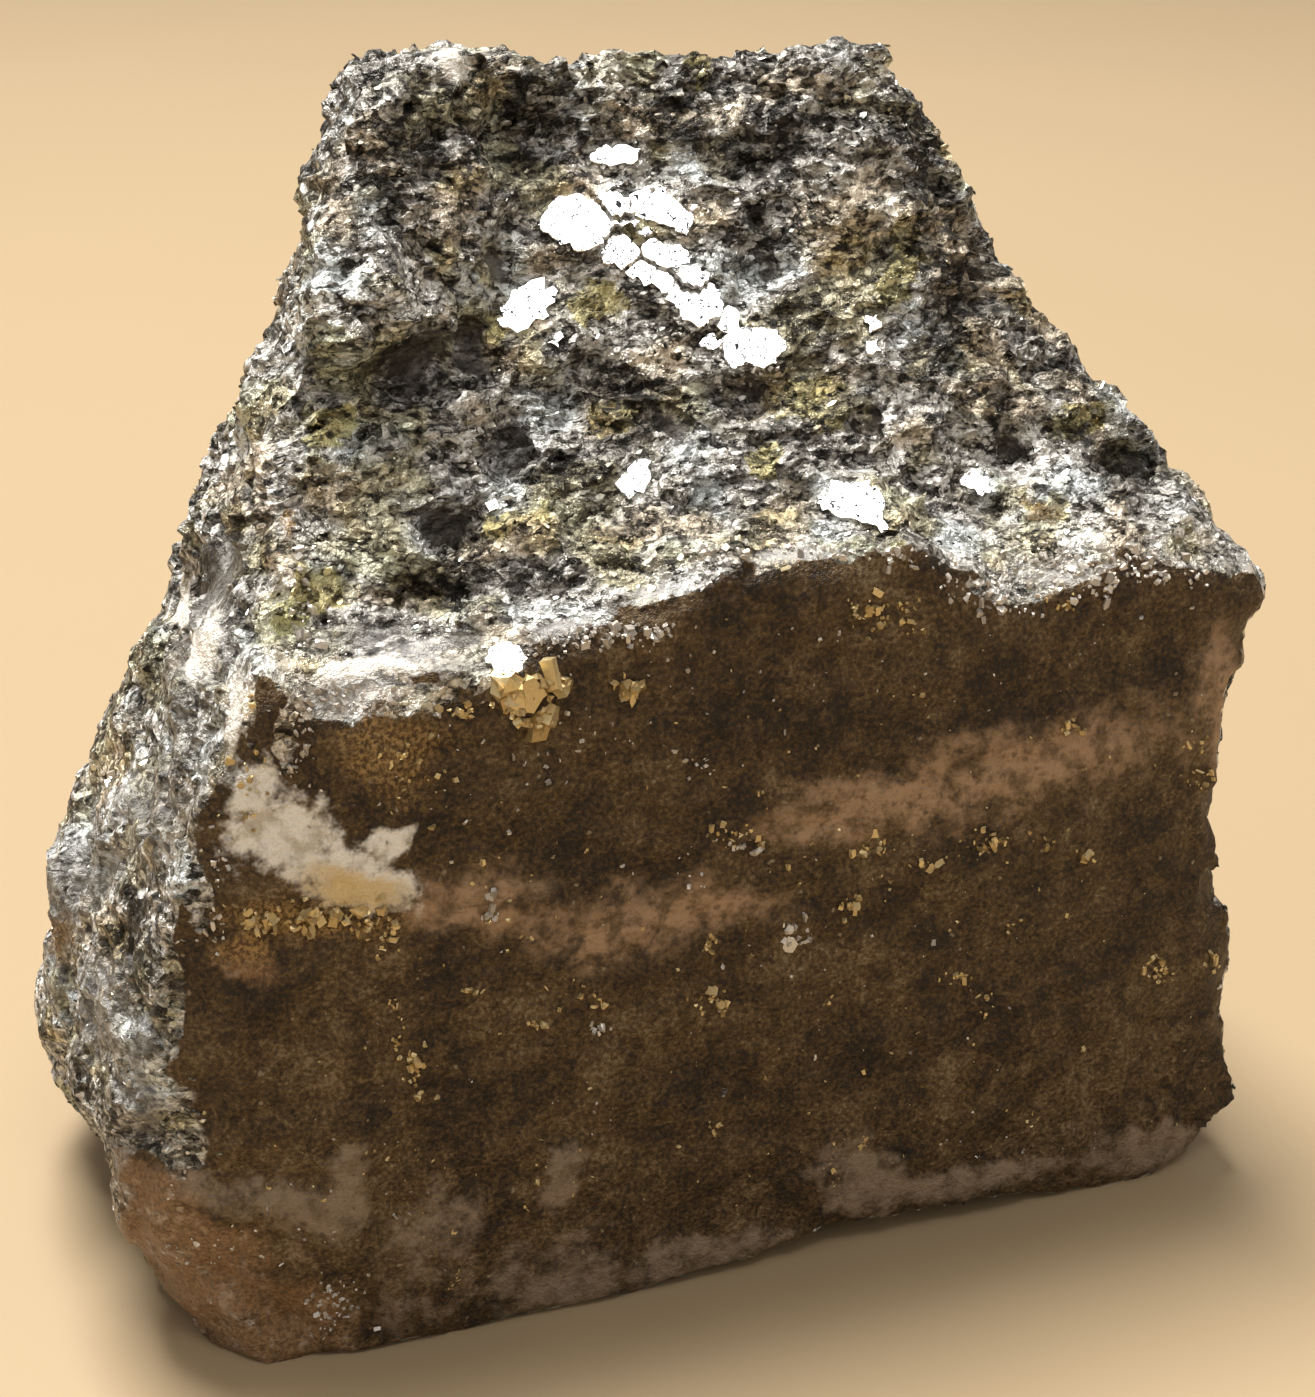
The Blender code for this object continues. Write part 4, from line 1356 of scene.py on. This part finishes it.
# %% Scatter the flakes
flake_draw = np.random.default_rng(5)
flake_box = shape_box("flake_shapes", [flake_shape(f"flake_{i}", flake_draw) for i in range(FLAKE_KINDS)])
flake_steel = flake_finish()
near_flakes = grown_on(skin_mesh, flake_scatter, Shapes=flake_box, Finish=flake_steel, Where="flaking",
                       Per_square_mm=1.3, Shortest=0.24, Longest=0.95, Thickness=0.12, Tip=0.22, Seed=2)
far_flakes = grown_on(skin_mesh, flake_scatter, Shapes=flake_box, Finish=flake_steel, Where="far_flaking",
                      Per_square_mm=1.0, Shortest=0.3, Longest=1.2, Thickness=0.12, Tip=0.24, Seed=7)
emptied(flake_box)
visible_piece("cleavage_flakes_near", near_flakes, flake_steel)
visible_piece("cleavage_flakes_far", far_flakes, flake_steel)

# %% [markdown]
# ## The mirror faces themselves
# Each outline becomes a thin closed plate: its top lies on the mirror's plane, its rim is rounded off a
# little, and its foot is sunk into the stone, so that it is a face of the rock and not something laid on it.

# %% Mirror plates
MIRROR_DEPTH = 0.40
RIM_DROP = 0.05
RIM_INSET = 0.05
WIDEST_INSET = 0.3
CRACK_TONE = 0.47
CRACK_COLOUR = (0.03, 0.035, 0.04)
MIRROR_COLOUR = (0.96, 0.95, 0.93)
MIRROR_METALLIC = 0.9


def mirror_plates():
    """All mirror faces as one mesh of separate closed plates."""
    corners = []
    faces = []
    for name, outline in mirror_outlines.items():
        centre, normal = mirror_planes[name]
        flat = np.array([on_plane(x, y, centre, normal) for x, y in outline])
        middle = flat.mean(axis=0)
        radius = np.linalg.norm(flat - middle, axis=1).mean()
        inner = flat + (middle - flat) * min(WIDEST_INSET, RIM_INSET / radius)
        rings = [inner, flat - normal * RIM_DROP, flat - normal * MIRROR_DEPTH]
        start = len(corners)
        count = len(outline)
        for ring in rings:
            corners += ring.tolist()
        faces.append([start + i for i in range(count)])
        faces.append([start + 2 * count + i for i in reversed(range(count))])
        for low in (start, start + count):
            for i in range(count):
                j = (i + 1) % count
                faces.append([low + i, low + count + i, low + count + j, low + j])
    mesh = bpy.data.meshes.new("mirror_plates")
    mesh.from_pydata(corners, [], faces)
    shape = bmesh.new()
    shape.from_mesh(mesh)
    bmesh.ops.triangulate(shape, faces=shape.faces)
    bmesh.ops.recalc_face_normals(shape, faces=shape.faces)
    shape.to_mesh(mesh)
    shape.free()
    return mesh


def mirror_finish():
    """Clean cleavage: silver-white and nearly a mirror, with fine dark cracks and flecks."""
    material, tree, shader = new_finish("mirror_cleavage")
    place = millimetres(tree)
    crack = noise(tree, place, *WAVES["crack"])
    line = number(tree, "ABSOLUTE", number(tree, "SUBTRACT", crack, CRACK_TONE))
    whole = between(tree, line, 0.004, 0.022)
    fleck = between(tree, noise(tree, place, *WAVES["fleck"]), 0.30, 0.36)
    sound = number(tree, "MULTIPLY", fleck, number(tree, "MAXIMUM", whole, 0.1))
    tree.links.new(blend_colours(tree, sound, CRACK_COLOUR, MIRROR_COLOUR), shader.inputs["Base Color"])
    shader.inputs["Metallic"].default_value = MIRROR_METALLIC
    tree.links.new(blend_numbers(tree, sound, 0.5, 0.22), shader.inputs["Roughness"])
    return material


visible_piece("mirror_cleavage_faces", mirror_plates(), mirror_finish())

# %% [markdown]
# ## Pyrite and bright specks
# The front face is dotted with brassy pyrite, in small clusters, and with pale specks of quartz and galena.
# A pyrite grain is a little cube or a cube with its corners cut. A cluster is named by a pixel, its spread,
# the number of grains and their size, and the grains land on the skin by the same line of sight as before.

# %% Clusters
# Pixel x and y, spread across and down in pixels, number of grains, and width in millimetres
PYRITE = (
    (512, 694, 14, 12, 12, 0.85), (538, 688, 14, 12, 10, 0.8), (545, 716, 12, 14, 10, 0.85),
    (520, 712, 16, 10, 9, 0.6), (560, 680, 6, 6, 4, 0.8), (628, 690, 16, 12, 16, 0.5),
    (460, 712, 16, 8, 8, 0.45), (325, 918, 56, 12, 60, 0.42), (385, 925, 12, 24, 20, 0.4),
    (260, 920, 24, 14, 24, 0.4), (410, 770, 40, 24, 24, 0.28), (398, 1035, 5, 22, 12, 0.28),
    (414, 1066, 8, 18, 26, 0.36), (388, 1005, 4, 12, 5, 0.26), (862, 612, 26, 14, 24, 0.3),
    (905, 614, 20, 16, 20, 0.26), (1065, 606, 16, 12, 10, 0.24), (1075, 726, 12, 8, 12, 0.28),
    (985, 842, 22, 10, 20, 0.34), (1085, 858, 8, 6, 8, 0.34), (1040, 842, 16, 8, 6, 0.26),
    (850, 905, 12, 10, 12, 0.36), (880, 848, 24, 10, 16, 0.28), (930, 862, 24, 8, 10, 0.28),
    (735, 838, 26, 14, 20, 0.28), (710, 946, 6, 12, 8, 0.34), (718, 1000, 10, 14, 10, 0.36),
    (700, 1010, 10, 8, 5, 0.34), (590, 1000, 26, 22, 12, 0.26), (535, 1024, 14, 6, 8, 0.26),
    (958, 978, 16, 6, 12, 0.3), (984, 1004, 8, 18, 8, 0.24), (1160, 966, 18, 14, 26, 0.32),
    (1210, 966, 8, 12, 12, 0.36), (1202, 780, 14, 12, 14, 0.26), (470, 990, 14, 5, 8, 0.26),
    (1190, 740, 18, 12, 8, 0.22), (716, 1125, 6, 12, 6, 0.26), (864, 1138, 6, 8, 5, 0.26),
    (830, 1180, 16, 16, 8, 0.22), (455, 1275, 6, 12, 8, 0.24), (1034, 1120, 8, 6, 5, 0.24),
    (500, 900, 120, 90, 30, 0.2), (820, 760, 200, 120, 40, 0.18), (1000, 900, 180, 120, 40, 0.18),
    (800, 1080, 240, 80, 40, 0.18), (370, 1120, 120, 90, 24, 0.18), (245, 770, 20, 60, 20, 0.26),
    (520, 1190, 160, 60, 24, 0.2),
)
SPECKS = (
    (794, 934, 12, 12, 18, 0.4), (745, 850, 12, 8, 6, 0.34), (490, 912, 12, 12, 8, 0.32),
    (690, 880, 20, 16, 6, 0.24), (932, 944, 4, 4, 2, 0.36), (545, 770, 30, 20, 10, 0.3),
    (590, 740, 40, 30, 14, 0.24), (700, 770, 30, 20, 12, 0.24), (595, 1030, 14, 10, 8, 0.3),
    (650, 700, 220, 50, 24, 0.18), (900, 640, 220, 40, 20, 0.18), (460, 780, 90, 70, 16, 0.2),
    (1000, 700, 200, 60, 12, 0.16), (700, 900, 240, 120, 24, 0.16), (950, 1050, 220, 90, 20, 0.15),
    (500, 1100, 220, 90, 20, 0.16), (330, 1230, 120, 80, 24, 0.18), (1050, 1150, 150, 24, 12, 0.18),
    (300, 740, 20, 60, 40, 0.24), (215, 900, 14, 50, 30, 0.24), (170, 1120, 14, 70, 24, 0.2),
    (620, 634, 70, 12, 60, 0.3), (730, 552, 40, 10, 30, 0.32), (820, 552, 60, 10, 36, 0.3),
    (900, 556, 30, 10, 20, 0.28), (560, 640, 50, 12, 36, 0.28), (960, 590, 24, 14, 20, 0.28),
    (1090, 570, 70, 26, 110, 0.34), (1000, 600, 30, 14, 30, 0.32), (1170, 560, 50, 26, 50, 0.3),
    (350, 700, 60, 14, 50, 0.3), (310, 640, 24, 30, 30, 0.28), (110, 775, 14, 10, 6, 0.6),
    (1000, 555, 50, 30, 40, 0.26), (300, 600, 14, 60, 40, 0.26), (950, 480, 80, 30, 30, 0.26),
    (325, 1310, 34, 26, 60, 0.22), (200, 1250, 60, 24, 30, 0.18), (755, 368, 26, 14, 24, 0.26),
    (690, 232, 12, 20, 12, 0.24), (640, 182, 30, 12, 14, 0.24), (700, 205, 18, 18, 10, 0.22),
)
SPREAD = 0.6
SMALLEST = 0.5
SIZE_RANGE = 1.1
FEW_LARGE = 2.5


def grain_spots(clusters, seed):
    """A mesh of loose points on the skin with the width of the grain that sits on each."""
    draw = np.random.default_rng(seed)
    places = []
    widths = []
    for x, y, across, down, count, width in clusters:
        for _ in range(count):
            spot = draw.normal(0.0, SPREAD, 2) * (across, down) + (x, y)
            place, _ = meet(skin_tree, *spot)
            size = width * (SMALLEST + SIZE_RANGE * draw.uniform() ** FEW_LARGE)
            if place is not None and place[2] > size:
                places.append(tuple(place))
                widths.append(size)
    mesh = bpy.data.meshes.new("grain_spots")
    mesh.from_pydata(places, [], [])
    record(mesh, "width", np.array(widths))
    return mesh


pyrite_spots = grain_spots(PYRITE, 21)
speck_spots = grain_spots(SPECKS, 22)
print(len(pyrite_spots.vertices), "pyrite grains and", len(speck_spots.vertices), "specks")

# %% Grain shapes and their tree
GRAIN_UNEVEN = 0.14
GRAIN_CUTS = (("cube", 0.0), ("cut_cube", 0.3), ("round_cube", 0.45))
GRAIN_LEAST = (0.6, 0.45, 0.3)
GRAIN_MOST = (1.5, 1.1, 0.8)


def grain_shape(name, cut, draw):
    """A cube with its corners cut off by a share, and a little uneven."""
    shape = bmesh.new()
    bmesh.ops.create_cube(shape, size=1.0)
    if cut > 0.0:
        bmesh.ops.bevel(shape, geom=shape.verts, offset=cut, affect="VERTICES", profile=0.5)
    for corner in shape.verts:
        corner.co += Vector(draw.uniform(-GRAIN_UNEVEN, GRAIN_UNEVEN, 3))
    mesh = bpy.data.meshes.new(name)
    shape.to_mesh(mesh)
    shape.free()
    return bpy.data.objects.new(name, mesh)


def grain_tree():
    """One grain on every point, as wide as the point says, turned its own way."""
    tree, source = new_tree("set_grains", (("Width share", "Float", 1.0),))
    turn = random_turn(tree, (0.0, 0.0, 0.0), (math.tau, math.tau, math.tau), 1)
    uneven = add(tree, "FunctionNodeRandomValue", {"data_type": "FLOAT_VECTOR"},
                 {0: GRAIN_LEAST, 1: GRAIN_MOST, "Seed": 2})
    wide = number(tree, "MULTIPLY", attribute(tree, "width"), source["Width share"])
    size = add(tree, "ShaderNodeVectorMath", {"operation": "SCALE"}, {0: uneven.outputs[0], "Scale": wide})
    set_and_finished(tree, source, source["Geometry"], turn, size.outputs[0], 3)
    return tree


def grain_finish(name, dim, bright, metallic, roughness):
    """Grains of one mineral, from a dim to a bright tone, each with a little tarnish."""
    material, tree, shader = new_finish(name)
    tarnish = noise(tree, millimetres(tree), *WAVES["tarnish"])
    share = blend_numbers(tree, 0.4, recorded(tree, "tone"), tarnish)
    tree.links.new(blend_colours(tree, share, dim, bright), shader.inputs["Base Color"])
    shader.inputs["Metallic"].default_value = metallic
    gloss = blend_numbers(tree, tarnish, roughness - 0.1, roughness + 0.15)
    tree.links.new(gloss, shader.inputs["Roughness"])
    return material


# %% Set the grains
set_grains = grain_tree()
grain_draw = np.random.default_rng(8)
grain_box = shape_box("grain_shapes", [grain_shape(name, cut, grain_draw) for name, cut in GRAIN_CUTS])
brass = grain_finish("pyrite", (0.26, 0.165, 0.055), (0.86, 0.70, 0.38), 0.7, 0.36)
white = grain_finish("bright_speck", (0.20, 0.175, 0.14), (0.90, 0.85, 0.78), 0.5, 0.36)
pyrite_mesh = grown_on(pyrite_spots, set_grains, Shapes=grain_box, Finish=brass)
speck_mesh = grown_on(speck_spots, set_grains, Shapes=grain_box, Finish=white)
emptied(grain_box)
visible_piece("pyrite_grains", pyrite_mesh, brass)
visible_piece("bright_specks", speck_mesh, white)

# %% [markdown]
# ## Floor and light
# The stone stands on a plain pale floor. One softbox hangs above and a little behind it, where the picture's
# light comes from, so the broken top glitters and the front face stays dark. A small one stands where the
# mirror faces throw their flash at the camera. A wide dim one fills from the front, a weak one lights the
# left side, and the surroundings are a soft warm grey.

# %% Floor
FLOOR_HALF_METRES = 3.0
FLOOR_COLOURS = ((0.385, 0.285, 0.165), (0.41, 0.305, 0.18))
FLOOR_ROUGHNESS = 0.55


def floor_finish():
    material, tree, shader = new_finish("pale_floor")
    cloud = noise(tree, millimetres(tree), *WAVES["cloud"])
    tree.links.new(blend_colours(tree, cloud, *FLOOR_COLOURS), shader.inputs["Base Color"])
    shader.inputs["Roughness"].default_value = FLOOR_ROUGHNESS
    return material


def flat_floor():
    mesh = bpy.data.meshes.new("floor")
    h = FLOOR_HALF_METRES
    mesh.from_pydata([(-h, -h, 0.0), (h, -h, 0.0), (h, h, 0.0), (-h, h, 0.0)], [], [(0, 1, 2, 3)])
    mesh.materials.append(floor_finish())
    return bpy.data.objects.new("floor", mesh)


floor = flat_floor()
bpy.context.scene.collection.objects.link(floor)
print("floor, metres across:", 2.0 * FLOOR_HALF_METRES)

# %% Softboxes
AIM = np.array([0.0, -8.0, 38.0])
SKY_COLOUR = (0.92, 0.86, 0.80, 1.0)
SKY_STRENGTH = 0.38

# Direction from the stone, distance and width in metres, watts and colour
SOFTBOXES = {
    "key": ((-0.10, 0.28, 0.93), 0.85, 0.34, 14.5, (1.0, 0.97, 0.93)),
    "glint": (GLINT_WAY, 0.60, 0.13, 0.55, (1.0, 0.98, 0.96)),
    "fill": ((0.5, -1.0, 0.9), 0.9, 0.8, 0.6, (1.0, 0.95, 0.88)),
    "left": ((-1.0, -0.1, 0.5), 0.7, 0.4, 0.25, (0.98, 0.98, 1.0)),
}


def softbox(name, way, distance, width, watts, colour):
    """A square lamp that looks at the stone from a direction."""
    lamp = bpy.data.lights.new(name, "AREA")
    lamp.size = width
    lamp.energy = watts
    lamp.color = colour
    holder = bpy.data.objects.new(name, lamp)
    bpy.context.scene.collection.objects.link(holder)
    way = np.array(way) / np.linalg.norm(way)
    holder.location = AIM * MM + way * distance
    holder.rotation_euler = Vector(-way).to_track_quat("-Z", "Y").to_euler()
    print(name, "at", [round(value, 3) for value in holder.location])


for name, settings in SOFTBOXES.items():
    softbox(name, *settings)

world = bpy.data.worlds.new("surroundings")
world.use_nodes = True
sky = world.node_tree.nodes["Background"]
sky.inputs["Color"].default_value = SKY_COLOUR
sky.inputs["Strength"].default_value = SKY_STRENGTH
bpy.context.scene.world = world
bpy.context.scene.view_settings.view_transform = "Standard"
